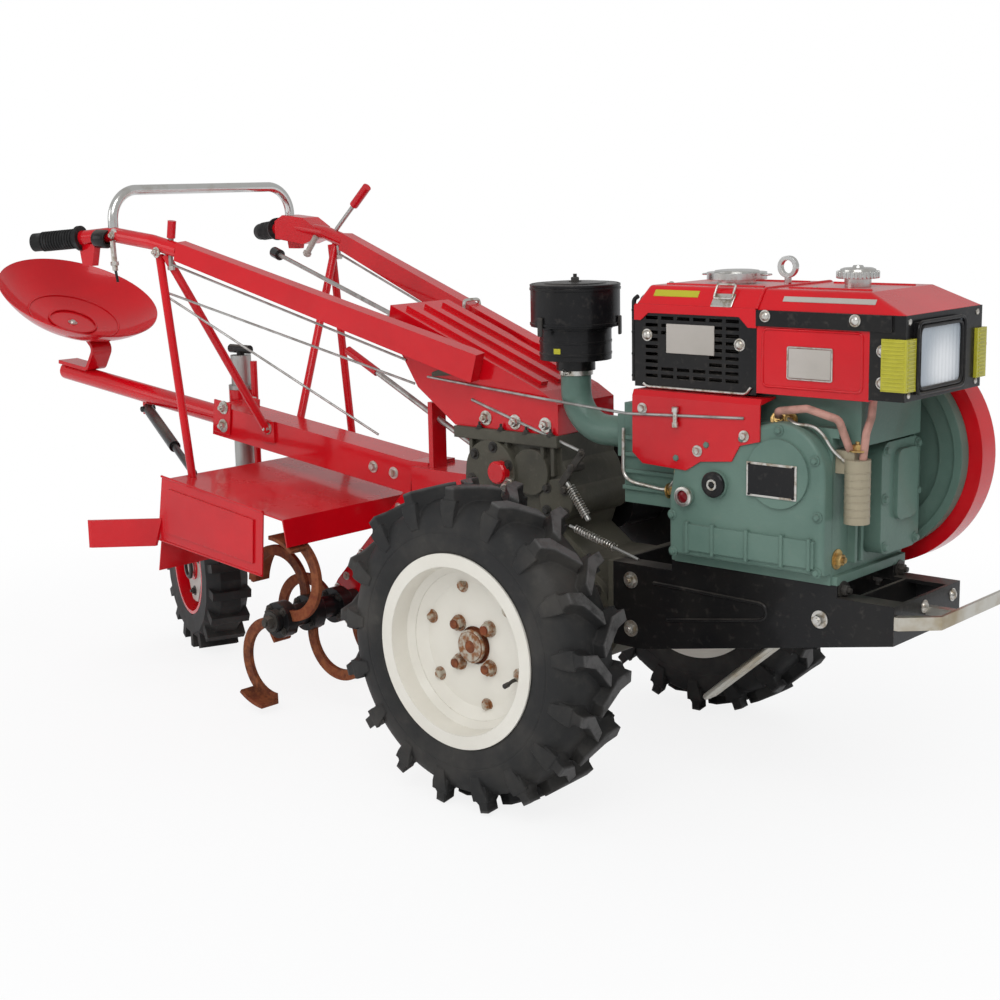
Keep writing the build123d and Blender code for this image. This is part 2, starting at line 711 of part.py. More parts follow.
for side, name in ((-1, "right"), (1, "left")):
    def at_side(point):
        return (point[0], side * point[1], point[2])

    front, rear = Vector(at_side(bar_front)), Vector(at_side(bar_rear))
    run = rear - front
    across_bar = (0, 1, 0)
    with BuildPart(at_axle) as handlebar:
        shift = Vector(axle_x, 0, 0)
        with BuildSketch(Plane(front + shift, x_dir=across_bar, z_dir=run)):
            Rectangle(bar_front_w, bar_front_h)
        with BuildSketch(Plane(rear + shift, x_dir=across_bar, z_dir=run)):
            Rectangle(bar_rear_w, bar_rear_h)
        loft()
        bent_bar([tuple(rear), at_side((-1010, 252, 976)), at_side((rail_x, 257, 991)),
                  at_side(grip_front), at_side(grip_rear)], 60, bar_tube_r)
        if side > 0:
            with BuildSketch(across(292)):
                Polygon((-1178, 962), (-1178, 1004), (-1150, 1018), (-1080, 1012), (-1040, 990),
                        (-1040, 962), (-1080, 950), align=None)
            extrude(amount=52)
        slab((frame_rear_x, 0), (-cover_half_y, cover_half_y), (frame_low_z, 900), mode=Mode.SUBTRACT)
    save(handlebar, f"{name}_handlebar")
    if side < 0:
        right_bar = handlebar
    else:
        left_bar = handlebar

with BuildPart(at_axle) as grips:
    for side, bar in ((-1, right_bar), (1, left_bar)):
        front = Vector(grip_front[0], side * grip_front[1], grip_front[2])
        rear = Vector(grip_rear[0], side * grip_rear[1], grip_rear[2])
        way = (rear - front).normalized()
        round_bar(front + way * 8, rear + way * 6, grip_r)
        round_bar(front + way * 4, front + way * 12, grip_collar_r)
        cut_by(bar)
save(grips, "grips")

with BuildPart(at_axle) as hand_rail:
    bent_bar([(rail_x, -rail_foot_y, 988), (rail_x, -rail_foot_y, rail_z), (rail_x, rail_foot_y, rail_z),
              (rail_x, rail_foot_y, 988)], rail_bend_r, rail_tube_r)
    cut_by(right_bar)
    cut_by(left_bar)
save(hand_rail, "hand_rail")

# =================================================================== tool beam and seat
beam_dir = Vector(-1, 0, beam_slope)


def on_beam(x):
    return (x, 0, beam_z(x))


beam_length = (Vector(on_beam(beam_rear_x)) - Vector(on_beam(beam_front_x))).length
with BuildPart(at_axle) as beam:
    with Locations(Plane(on_beam(beam_front_x), x_dir=(0, 1, 0), z_dir=beam_dir)):
        Box(beam_w, beam_h, beam_length, align=(Align.CENTER, Align.CENTER, Align.MIN))
        Box(beam_w - 2 * beam_wall, beam_h - 2 * beam_wall, beam_length - 8,
            align=(Align.CENTER, Align.CENTER, Align.MIN), mode=Mode.SUBTRACT)
save(beam, "tool_beam")

with BuildPart(at_axle) as seat_tube:
    round_bar(on_beam(beam_rear_x), on_beam(seat_tube_rear_x), seat_tube_r)
    slab((strut_x - 14, strut_x + 14), (-4, 4), (strut_z - 14, beam_z(strut_x)))
    round_bar(on_beam(beam_rear_x), on_beam(seat_tube_rear_x), seat_tube_r - 4, mode=Mode.SUBTRACT)
save(seat_tube, "seat_tube")

lean = math.radians(seat_tilt)
seat_centre = Vector(axle_x + seat_x, 0, seat_z)
seat_up = Vector(math.sin(lean), 0, math.cos(lean))
seat_section = Plane(seat_centre, x_dir=(math.cos(lean), 0, -math.sin(lean)), z_dir=(0, -1, 0))
with BuildPart() as seat:
    with BuildSketch(seat_section):
        with BuildLine():
            low = ThreePointArc((0, -seat_depth), (seat_r * 0.62, -seat_depth * 0.74), (seat_r, 0))
            high = ThreePointArc((0, seat_t - seat_depth), (seat_r * 0.62, seat_t - seat_depth * 0.74),
                                 (seat_r, seat_t))
            Line(low @ 0, high @ 0)
            Line(low @ 1, high @ 1)
        make_face()
    revolve(axis=Axis(seat_centre, seat_up))
save(seat, "seat_pan")

with BuildSketch(seat_section) as filled_bowl:
    with BuildLine():
        low = ThreePointArc((0, -seat_depth), (seat_r * 0.62, -seat_depth * 0.74), (seat_r, 0))
        Polyline(low @ 1, (0, 0), low @ 0)
    make_face()
with BuildPart(at_axle) as leaf:
    top_z = beam_z(-1700) + seat_tube_r
    with BuildSketch(across(leaf_w / 2)):
        with BuildLine():
            FilletPolyline((-1716, top_z + 5), (-1600, top_z - 8), (-1566, 700), (-1600, 730),
                           (-1650, 752), radius=18)
        trace(line_width=leaf_t)
    extrude(amount=leaf_w)
    revolve(filled_bowl.sketch, axis=Axis(seat_centre, seat_up), mode=Mode.SUBTRACT)
    cut_by(seat_tube)
save(leaf, "seat_leaf")

# =================================================================== tiller
with BuildPart(at_axle) as tiller_case:
    with BuildSketch(across(tiller_case_half_y)):
        with Locations((rotor_x, rotor_z)):
            Circle(62)
        with Locations((-430, 430)):
            Circle(70)
        make_hull()
    extrude(amount=2 * tiller_case_half_y)
    slab((-450, -295), (-60, 60), (380, 520))
    slab((-470, -420), (-beam_w / 2, beam_w / 2), (455, 528))
    slab((-408, -396), (-50, -10), (510, 655))
    lateral(rotor_x, rotor_z, rotor_shaft_r + run_fit, -60, 60, mode=Mode.SUBTRACT)
    cut_by(gearbox)
    cut_by(beam)
save(tiller_case, "tiller_case")

tiller_front_z = tiller_rear_z - tiller_slope * (tiller_front_x - tiller_rear_x)
with BuildPart(at_axle) as tiller_hood:
    outline(across(hood_half_w), [(tiller_rear_x, tiller_rear_z), (tiller_front_x, tiller_front_z),
                                  (tiller_front_x + 10, tiller_front_z - 56),
                                  (tiller_front_x + 10 - sheet, tiller_front_z - 56),
                                  (tiller_front_x - sheet, tiller_front_z - sheet),
                                  (tiller_rear_x - 2, tiller_rear_z - sheet), (wall_low_x, wall_low_z),
                                  (wall_low_x - sheet, wall_low_z), (tiller_rear_x - sheet, tiller_rear_z)],
            2 * hood_half_w)
    slab((wall_low_x - 40, tiller_rear_x + 10), (-notch_half_y, notch_half_y), (wall_low_z - 10, notch_z),
         mode=Mode.SUBTRACT)
    for side in (-1, 1):
        outline(across(side * hood_half_w), [(-960, 484), (-636, 444), (-648, 307), (-986, 341)],
                -side * sheet)
        outline(across(side * (hood_half_w + sheet)), [(-937, 458), (-664, 424), (-671, 332), (-957, 362)],
                -side * panel_proud)
    slab((-520, tiller_case_half_y), (-tiller_case_half_y, tiller_case_half_y), (0, 600), mode=Mode.SUBTRACT)
    cut_by(tiller_case)
save(tiller_hood, "tiller_hood")

tine_half_t = 5
# middle plane, first tine's angle, way the blade turns
tine_rows = [(-242, 205, 1), (-165, 110, -1), (-85, 155, 1), (85, 20, -1), (165, 65, 1), (242, 335, -1)]
with BuildPart(at_axle) as rotor:
    for side in (-1, 1):
        lateral(rotor_x, rotor_z, rotor_shaft_r, 0, side * rotor_half_y)
    for row_y, angle, turn in tine_rows:
        lateral(rotor_x, rotor_z, 38, row_y - 14, row_y + 14)
save(rotor, "rotor_shaft")

with BuildPart(at_axle) as tines:
    for row_y, angle, turn in tine_rows:
        for start in (angle, angle + 180):
            def polar(radius, degrees):
                turned = math.radians(start + degrees)
                return (rotor_x + radius * math.cos(turned), rotor_z + radius * math.sin(turned))

            with BuildSketch(across(row_y + tine_half_t), mode=Mode.PRIVATE) as shank:
                with BuildLine():
                    ThreePointArc(polar(30, 0), polar(140, 12), polar(rotor_r - 10, 56))
                trace(line_width=22)
            extrude(shank.sketch, amount=2 * tine_half_t)
            with BuildSketch(across(row_y), mode=Mode.PRIVATE) as blade:
                with BuildLine():
                    ThreePointArc(polar(rotor_r - 6, 36), polar(rotor_r - 4, 47), polar(rotor_r - 5, 58))
                trace(line_width=8)
            extrude(blade.sketch, amount=46 * turn)
    cut_by(rotor)
save(tines, "tines")

# =================================================================== tail wheel
steer = math.radians(tail_steer)
forward = Vector(math.cos(steer), math.sin(steer), 0)
leftward = Vector(-math.sin(steer), math.cos(steer), 0)
hub = Vector(column_x, column_y, tail_r) - forward * tail_trail - leftward * tail_offset
hub_frame = Plane(hub, x_dir=forward, z_dir=-leftward)  # z points to the right of the wheel


def wheel_disc(radius, from_right, to_right, mode=Mode.ADD):
    """Cylinder on the tail wheel's axle, between two distances to its right."""
    with Locations(hub_frame.offset(from_right)):
        Cylinder(radius, to_right - from_right, align=(Align.CENTER, Align.CENTER, Align.MIN), mode=mode)


with BuildPart(at_axle) as tail_sleeve:
    with Locations((column_x, column_y, 530)):
        Cylinder(column_r + 7, 90, align=(Align.CENTER, Align.CENTER, Align.MIN))
    slab((column_x, beam_rear_x + 60), (beam_w / 2, beam_w / 2 + 8), (538, 600))
    round_bar((screw_x, column_y, 440), (screw_x, column_y, column_top_z - 12), screw_r)
    for z in (538, 604):
        slab((column_x, screw_x), (column_y - 6, column_y + 6), (z, z + 8))
    with Locations((column_x, column_y, 500)):
        Cylinder(column_r + run_fit, 200, align=(Align.CENTER, Align.CENTER, Align.MIN), mode=Mode.SUBTRACT)
save(tail_sleeve, "tail_sleeve")

with BuildPart(at_axle) as tail_column:
    with Locations((column_x, column_y, 300)):
        Cylinder(column_r, column_top_z - 300, align=(Align.CENTER, Align.CENTER, Align.MIN))
    for z_from, height in ((520, 10 - gap), (620 + gap, 10)):
        with Locations((column_x, column_y, z_from)):
            Cylinder(column_r + 7, height, align=(Align.CENTER, Align.CENTER, Align.MIN))
    arm_top = Vector(column_x, column_y, 320)
    arm_low = hub + leftward * (tail_offset - 14)
    round_bar(arm_top, arm_low, 20)
    with Locations(hub_frame.offset(-tail_offset - 4)):
        Cylinder(30, 26, align=(Align.CENTER, Align.CENTER, Align.MIN))
    wheel_disc(tail_axle_r, -tail_offset, 34)
save(tail_column, "tail_column")

with BuildPart(at_axle) as tail_handle:
    with Locations((column_x, column_y, column_top_z)):
        Cylinder(9, 14, align=(Align.CENTER, Align.CENTER, Align.MIN))
    round_bar((column_x - 34, column_y, column_top_z + 14), (column_x + 34, column_y, column_top_z + 14), 10)
save(tail_handle, "tail_handle")

tail_bar_top = math.sqrt(tail_r ** 2 - 10 ** 2)
bar_down = 180 / tail_bar_count  # so that a bar is under the axle
# half width, radius
tail_outline = [(tail_rim_half_w, tail_rim_r / math.cos(math.pi / tail_bar_count)),
                (tail_w / 2, 158), (24, 187)]
tail_hollow = [(tail_w / 2 - tail_wall, tail_rim_r - 5),
               (tail_w / 2 - tail_wall, 150), (20, 187 - tail_wall)]
with BuildPart() as tail_bar:
    with Locations((170, 0, 0)):
        Box(2 * (tail_bar_top - 170), 92, 20)
with BuildPart() as straight_tyre:
    add(faceted_tyre(Vector(0, 0, 0), tail_outline, tail_hollow, tail_bar_count))
    add([tail_bar.part.rotate(Axis.Y, count * 360 / tail_bar_count) for count in range(tail_bar_count)])
with BuildPart() as tail_tyre:
    add(Location(hub + Vector(axle_x, 0, 0), (0, 0, tail_steer))
        * straight_tyre.part.rotate(Axis.Y, bar_down))
save(tail_tyre, "tail_tyre")

with BuildPart(at_axle) as tail_rim:
    wheel_disc(tail_rim_r - gap, -tail_rim_half_w, tail_rim_half_w)
    wheel_disc(tail_rim_r - 8, 6, tail_rim_half_w, mode=Mode.SUBTRACT)
    wheel_disc(tail_rim_r - 8, -tail_rim_half_w, -6, mode=Mode.SUBTRACT)
    wheel_disc(30, -44, 36)
    wheel_disc(tail_axle_r + run_fit, -60, 60, mode=Mode.SUBTRACT)
save(tail_rim, "tail_rim")

# =================================================================== stays, footrests and controls
# ends at the handlebar (x, |y|, z) and at the tiller (x, |y|, z)
stay_runs = [((-992, 249, 950), (-932, 240, 470)), ((-975, 246, 950), (-905, 46, beam_z(-905) + 10))]
with BuildPart(at_axle) as stays:
    for side in (-1, 1):
        for top, foot in stay_runs:
            round_bar((top[0], side * top[1], top[2]), (foot[0], side * foot[1], foot[2]), 9)
        slab((-925, -885), (side * 40, side * 46), (beam_z(-905) - 14, beam_z(-905) + 34))
    for solid in (right_bar, left_bar, beam, tiller_hood):
        cut_by(solid)
save(stays, "stays")

with BuildPart(at_axle) as strut:
    strut_top = Vector(strut_x, 0, strut_z)
    strut_foot = Vector(tiller_rear_x + 12, -234, tiller_rear_z + 5)
    round_bar(strut_top + (strut_foot - strut_top) * 0.62, strut_foot, 8)
    round_bar(strut_top, strut_top + (strut_foot - strut_top) * 0.62, 13)
    lateral(strut_x, strut_z, 7, -18, 18)
    cut_by(seat_tube)
    cut_by(tiller_hood)
    cut_by(stays)
save(strut, "depth_strut")

foot_outline = [(foot_root_x, hood_half_w - 5), (foot_root_x, hood_half_w - 11),
                (foot_tip_x + 6, foot_tip_y - 8), (foot_tip_x, foot_tip_y - 4),
                (foot_tip_x + 3, foot_tip_y), (foot_tip_x + 10, foot_tip_y - 2)]
with BuildPart(at_axle) as footrests:
    for side in (-1, 1):
        outline(level(foot_low_z), [(x, side * y) for x, y in foot_outline], foot_h)
    beyond = hood_half_w + 20
    outline(across(beyond), [(tiller_rear_x - sheet, tiller_rear_z), (wall_low_x - sheet, wall_low_z),
                             (-900, wall_low_z), (-900, tiller_rear_z)], 2 * beyond, mode=Mode.SUBTRACT)
    slab((foot_tip_x, foot_root_x), (-hood_half_w, hood_half_w), (foot_low_z, foot_low_z + foot_h),
         mode=Mode.SUBTRACT)
    cut_by(tiller_hood)
save(footrests, "footrests")

with BuildPart(at_axle) as hoses:
    bent_bar([(446, -100, 692), (462, -128, 712), (520, -134, 721), (574, -126, 706),
              (filter_x - 9, filter_y, filter_top_z)], 12, fuel_hose_r)
    bent_bar([(filter_x + 9, filter_y, filter_top_z), (filter_x + 14, filter_y, 684),
              (filter_x + 16, -86, 708), (filter_x + 16, -80, deck_z + tank_foot_h + 1)], 12, fuel_hose_r)
    for solid in (engine, fuel_filter, tank):
        cut_by(solid)
save(hoses, "fuel_hoses")

# ends of the taut control wires and their brackets, and their radius
wires = [
    ((-962, -243, 958), (-962, -243, 922), 5),
    ((-962, -243, 930), (-430, -cover_half_y, 742), 2.5),
    ((-984, -243, 870), (-408, -cover_half_y, 696), 2.5),
    ((-984, -243, 862), (-582, -20, 570), 2.5),
    ((-962, 243, 958), (-962, 243, 922), 5),
    ((-962, 243, 930), (-464, cover_half_y, 806), 2.5),
    ((-372, -cover_half_y, 712), (-60, -cover_half_y - 8, 690), 2.5),
    ((-60, -cover_half_y - 8, 690), (175, shield_y - sheet - 3, 689), 2.5),
    ((175, shield_y - sheet - 3, 689), (413, shield_y - sheet - 1, 699), 2.5),
    ((-255, -cover_half_y, 675), (20, -cover_half_y, 596), 3),
    ((-29, -84, 545), (30, -84, 470), 5),
    ((-14, -85.5, 455), (145, -85.5, 411), 3),
]
# from x, y, z to x, y, z, rod radius, handle's length and radius
levers = [
    ((-400, -30, 621), (-655, -30, 745), 6, 95, 9),
    ((-968, 244, 985), (-858, 240, 1081), 5, 62, 10),
    ((-966, -240, 958), (-955, -240, 1020), 6, 36, 9),
    ((-455, 31.3, 774.8), (-1166, 225, 931), 5, 30, 13),
]
with BuildPart(at_axle) as rods:
    for base, top, rod_r, handle_l, handle_r in levers:
        way = (Vector(top) - Vector(base)).normalized()
        round_bar(base, Vector(top) - way * handle_l, rod_r)
    lateral(-483, 818, 11, -150, 150)
    round_bar((-400, -30, 621), (-262, -30, 555), 6)
    for start, end, radius in wires:
        round_bar(start, end, radius)
    for solid in (right_bar, left_bar, steering, gearbox, tiller_case, stays, shield, beam, engine, chassis):
        cut_by(solid)
save(rods, "control_rods")

with BuildPart(at_axle) as handles:
    for base, top, rod_r, handle_l, handle_r in levers:
        way = (Vector(top) - Vector(base)).normalized()
        round_bar(Vector(top) - way * handle_l, top, handle_r)
save(handles, "lever_handles")
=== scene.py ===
import math

import bmesh
import bpy
from mathutils import Matrix, Vector


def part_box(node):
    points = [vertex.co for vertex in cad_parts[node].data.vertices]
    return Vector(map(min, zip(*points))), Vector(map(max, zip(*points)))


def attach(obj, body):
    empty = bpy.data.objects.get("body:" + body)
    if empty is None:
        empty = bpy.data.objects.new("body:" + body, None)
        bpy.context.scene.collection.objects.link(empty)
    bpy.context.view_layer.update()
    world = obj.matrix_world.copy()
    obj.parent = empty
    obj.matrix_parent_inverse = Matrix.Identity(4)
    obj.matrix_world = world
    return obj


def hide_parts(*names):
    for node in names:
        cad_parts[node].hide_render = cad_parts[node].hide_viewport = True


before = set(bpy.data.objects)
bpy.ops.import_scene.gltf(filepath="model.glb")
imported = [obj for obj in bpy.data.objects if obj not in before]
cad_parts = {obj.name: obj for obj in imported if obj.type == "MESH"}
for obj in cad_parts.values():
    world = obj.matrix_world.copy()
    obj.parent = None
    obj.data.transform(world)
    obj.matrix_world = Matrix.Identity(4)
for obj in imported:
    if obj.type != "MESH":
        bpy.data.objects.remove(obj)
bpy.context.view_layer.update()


# ---- Camera
# It stands at the machine's right front corner, a little above the hood, with a lens that is
# slightly longer than normal. The machine is placed from its drive axle's foot on the floor.
def placed(name, data):
    """A new object in the scene."""
    made = bpy.data.objects.new(name, data)
    bpy.context.scene.collection.objects.link(made)
    return made


tyre_rear, tyre_front = (corner[0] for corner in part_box("right_tyre"))
axle_x = (tyre_rear + tyre_front) / 2
camera_turn, camera_dip, camera_roll = (math.radians(angle) for angle in (41.42, 10.83, -1.11))
behind = Vector((math.sin(camera_turn) * math.cos(camera_dip),
                 -math.cos(camera_turn) * math.cos(camera_dip), math.sin(camera_dip)))
level_right = Vector((math.cos(camera_turn), math.sin(camera_turn), 0))
level_up = behind.cross(level_right)
right = level_right * math.cos(camera_roll) + level_up * math.sin(camera_roll)
up = level_up * math.cos(camera_roll) - level_right * math.sin(camera_roll)
camera_data = bpy.data.cameras.new("camera")
camera_data.sensor_width = 36
camera_data.lens = 60.77
camera_data.clip_end = 100
camera = placed("camera", camera_data)
camera.matrix_world = Matrix((right, up, behind)).transposed().to_4x4()
camera.location = (axle_x + 1.93345, -2.48903, 1.09743)
bpy.context.scene.camera = camera
bpy.context.scene.view_settings.view_transform = "Standard"


# ---- Studio
# A white floor under a white world, a large soft lamp over the machine's front right, a weaker
# one from the left and a strip behind, as for a catalogue picture.
class Value:
    """A socket of a finish. Sums with it add Math nodes."""

    def __init__(self, finish, socket):
        self.finish = finish
        self.socket = socket

    def maths(self, operation, first, second):
        return self.finish.node("Math", {"operation": operation}, {0: first, 1: second})

    def __add__(self, other):
        return self.maths("ADD", self, other)

    def __sub__(self, other):
        return self.maths("SUBTRACT", self, other)

    def __rsub__(self, other):
        return self.maths("SUBTRACT", other, self)

    def __mul__(self, other):
        return self.maths("MULTIPLY", self, other)

    __radd__ = __add__
    __rmul__ = __mul__

    def above(self, low, high):
        """0 below low, 1 above high, smooth between."""
        return self.finish.node("MapRange", {"interpolation_type": "SMOOTHSTEP"},
                                {"Value": self, "From Min": low, "From Max": high})


class Finish:
    """The node tree of a material, or of the world, filled one node at a time."""

    def __init__(self, name, kind=bpy.data.materials):
        self.owner = kind.new(name)
        self.owner.use_nodes = True
        self.tree = self.owner.node_tree
        self.tree.nodes.clear()

    def node(self, kind, settings=None, sockets=None, output=0):
        """Adds a shader node with its settings and sockets, and gives one of its outputs."""
        made = self.tree.nodes.new("ShaderNode" + kind)
        for name, setting in (settings or {}).items():
            setattr(made, name, setting)
        for name, value in (sockets or {}).items():
            if isinstance(value, Value):
                self.tree.links.new(value.socket, made.inputs[name])
            else:
                made.inputs[name].default_value = value
        return Value(self, made.outputs[output]) if len(made.outputs) else None

    def looked_at(self):
        """1 where the camera looks straight at it or through something clear."""
        return self.node("Math", {"operation": "MAXIMUM"}, {
            place: self.node("LightPath", output=f"Is {ray} Ray")
            for place, ray in enumerate(("Camera", "Transmission"))})

    def mixed(self, mask, below, above):
        """Colour that goes from below to above as the mask goes from 0 to 1."""
        # The node has sockets for numbers and for colours under the same names, so they go by number.
        below, above = (colour if isinstance(colour, Value) else (*colour, 1) for colour in (below, above))
        return self.node("Mix", {"data_type": "RGBA"}, {0: mask, 6: below, 7: above}, 2)


sky = Finish("studio", bpy.data.worlds)
bpy.context.scene.world = sky.owner
white, cool_white = (1, 1, 1, 1), (0.95, 0.97, 1, 1)
soft_sky, white_sky, mirrored_sky = (
    sky.node("Background", sockets={"Color": colour, "Strength": strength})
    for colour, strength in ((cool_white, 0.6), (white, 1), (white, 0.5)))
glossy_mix = sky.node("MixShader", sockets={
    0: sky.node("LightPath", output="Is Glossy Ray"), 1: soft_sky, 2: mirrored_sky})
sky.node("OutputWorld", sockets={
    "Surface": sky.node("MixShader", sockets={0: sky.looked_at(), 1: glossy_mix, 2: white_sky})})

# The back lamp stays out of mirror images, where it would wash out paint seen at a flat angle.
# name, place, aim, width, height, watts
lamps = (
    ("key", (3.2, -4.6, 5.2), (0.1, 0, 0.5), 4.4, 4.4, 185),
    ("fill", (-3.6, -4.4, 2.2), (-0.2, 0, 0.5), 3.6, 2.4, 34),
    ("back", (-2.0, 4.6, 4.2), (0, 0, 0.5), 4.2, 2.4, 48),
)
for name, place, aim, width, height, watts in lamps:
    light = bpy.data.lights.new(name, "AREA")
    light.shape = "RECTANGLE"
    light.size, light.size_y, light.energy = width, height, watts
    lamp = placed(name, light)
    lamp.location = place
    lamp.rotation_euler = (Vector(aim) - Vector(place)).to_track_quat("-Z", "Y").to_euler()
    lamp.visible_glossy = name != "back"

reach = 30
floor_mesh = bpy.data.meshes.new("floor")
floor_mesh.from_pydata([(-reach, -reach, 0), (reach, -reach, 0), (reach, reach, 0), (-reach, reach, 0)], [],
                       [(0, 1, 2, 3)])
floor = placed("floor", floor_mesh)
paper = Finish("paper")
shadow = paper.node("BsdfDiffuse", sockets={"Color": (0.97, 0.97, 0.97, 1)})
glow = paper.node("Emission", sockets={"Color": white, "Strength": 1})
# The shadow is kept by a share of plain paper near the machine, and the paper is clear from below.
far_off = paper.node("VectorMath", {"operation": "LENGTH"}, {
    0: paper.node("NewGeometry", output="Position")}, "Value").above(1.1, 2.2)
paper_share = 0.15
from_above = paper.node("MixShader", sockets={
    0: paper.looked_at() * (far_off * paper_share + (1 - paper_share)), 1: shadow, 2: glow})
from_below = paper.node("BsdfTransparent")
is_backside = paper.node("NewGeometry", output="Backfacing")
paper.node("OutputMaterial", sockets={
    "Surface": paper.node("MixShader", sockets={0: is_backside, 1: from_above, 2: from_below})})
floor.data.materials.append(paper.owner)


# ---- Chassis and bumper strap
# Two welded channel rails with cross plates, sprayed black in one coat, and at the nose a flat
# steel strap, bent to a bow and bolted on, zinc plated and dulled by the weather.
def surface(finish, colour, roughness, metallic=0.0, coat=0.0, bump=None, bump_depth=0.001, rounding=0.0015):
    """Ends a finish: one principled shader with softened edges under its bump."""
    sockets = {"Base Color": colour, "Roughness": roughness, "Metallic": metallic, "Coat Weight": coat,
               "Coat Roughness": 0.08, "Specular IOR Level": 0.2}
    normal = finish.node("Bevel", {"samples": 4}, {"Radius": rounding})
    if bump is not None:
        normal = finish.node("Bump", sockets={"Height": bump, "Distance": bump_depth,
                                                        "Strength": 0.6, "Normal": normal})
    sockets["Normal"] = normal
    shader = finish.node("BsdfPrincipled", sockets={
        name: ((*value, 1) if isinstance(value, tuple) and len(value) == 3 else value)
        for name, value in sockets.items()})
    finish.node("OutputMaterial", sockets={"Surface": shader})
    return finish


def clouds(finish, scale, detail=4.0, stretch=(1, 1, 1), roughness=0.55):
    """Soft noise about 0.5, in the piece's own places."""
    place = finish.node("TexCoord", output="Object")
    if stretch != (1, 1, 1):
        place = finish.node("VectorMath", {"operation": "MULTIPLY"}, {0: place, 1: stretch})
    return finish.node("TexNoise", sockets={"Vector": place, "Scale": scale, "Detail": detail,
                                                      "Roughness": roughness})


def edges(finish, width):
    """1 on sharp outer and inner edges, 0 on flat ground."""
    rounded = finish.node("Bevel", {"samples": 4}, {"Radius": width})
    flat = finish.node("NewGeometry", output="Normal")
    same = finish.node("VectorMath", {"operation": "DOT_PRODUCT"}, {0: rounded, 1: flat}, "Value")
    return (1 - same).above(0.01, 0.16)


def upward(finish):
    """1 where the surface faces the sky."""
    normal = finish.node("NewGeometry", output="Normal")
    return finish.node("SeparateXYZ", sockets={0: normal}, output="Z").above(0.45, 0.98)


def painted(name, colour, shade, bare, gloss, peel_scale=260, peel=0.0004, dust=0.12, chips=0.5, coat=0.14,
            rounding=0.0015):
    """Sprayed paint: slow changes of tone, orange peel, dust on top and chips along edges."""
    finish = Finish(name)
    slow = clouds(finish, 5, 5)
    fine = clouds(finish, 70, 3)
    tone = finish.mixed(slow.above(0.3, 0.75), colour, shade)
    settled = upward(finish) * slow.above(0.35, 0.7) * dust
    dusty = finish.mixed(settled + fine.above(0.55, 0.8) * dust * 0.25, tone, (0.36, 0.31, 0.26))
    chipped = edges(finish, 0.0022) * clouds(finish, 130, 4).above(0.5, 0.62) * slow.above(0.42, 0.62) * chips
    peeled = clouds(finish, peel_scale, 2) - chipped * 0.6
    rough = gloss + settled * 1.6 + fine * 0.06 + chipped * 0.25
    return surface(finish, finish.mixed(chipped, dusty, bare), rough, coat=coat, bump=peeled, bump_depth=peel,
                   rounding=rounding)


def grained(name, grain_size, fade, colours, rough, metallic=0.0, bump_depth=0.0003, rounding=0.0006,
            stretch=(1, 1, 1)):
    """Bare metal or rubber: one grain changes its tone and its gloss, and shows in its surface.

    The size is the noise's scale and detail, and rough is the grain's share in the roughness and its
    least value.
    """
    finish = Finish(name)
    grain = clouds(finish, *grain_size, stretch)
    share, least = rough
    return surface(finish, finish.mixed(grain.above(*fade), *colours), grain * share + least,
                   metallic=metallic, bump=grain, bump_depth=bump_depth, rounding=rounding)


def dress(finish, *nodes):
    """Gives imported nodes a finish."""
    for node in nodes:
        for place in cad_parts[node].material_slots:
            place.material = finish.owner


black_paint = painted("black paint", (0.007, 0.007, 0.008), (0.014, 0.013, 0.012), (0.2, 0.17, 0.14), 0.27,
                      dust=0.3)
dress(black_paint, "chassis")


def at(x, y, z):
    """A place in mm ahead of, to the left of and above the drive axle's foot."""
    return Vector((axle_x + x / 1000, y / 1000, z / 1000))


def both(places):
    """The same places on the right and on the left."""
    return [(x, side * y, z) for side in (-1, 1) for x, y, z in places]


def on_circle(radius, degrees):
    """Both coordinates of a place on a circle."""
    turn = math.radians(degrees)
    return radius * math.cos(turn), radius * math.sin(turn)


def around(number, radius, first=0.0):
    """Places spaced evenly round a circle, from a first angle in degrees."""
    return [on_circle(radius, first + 360 * count / number) for count in range(number)]


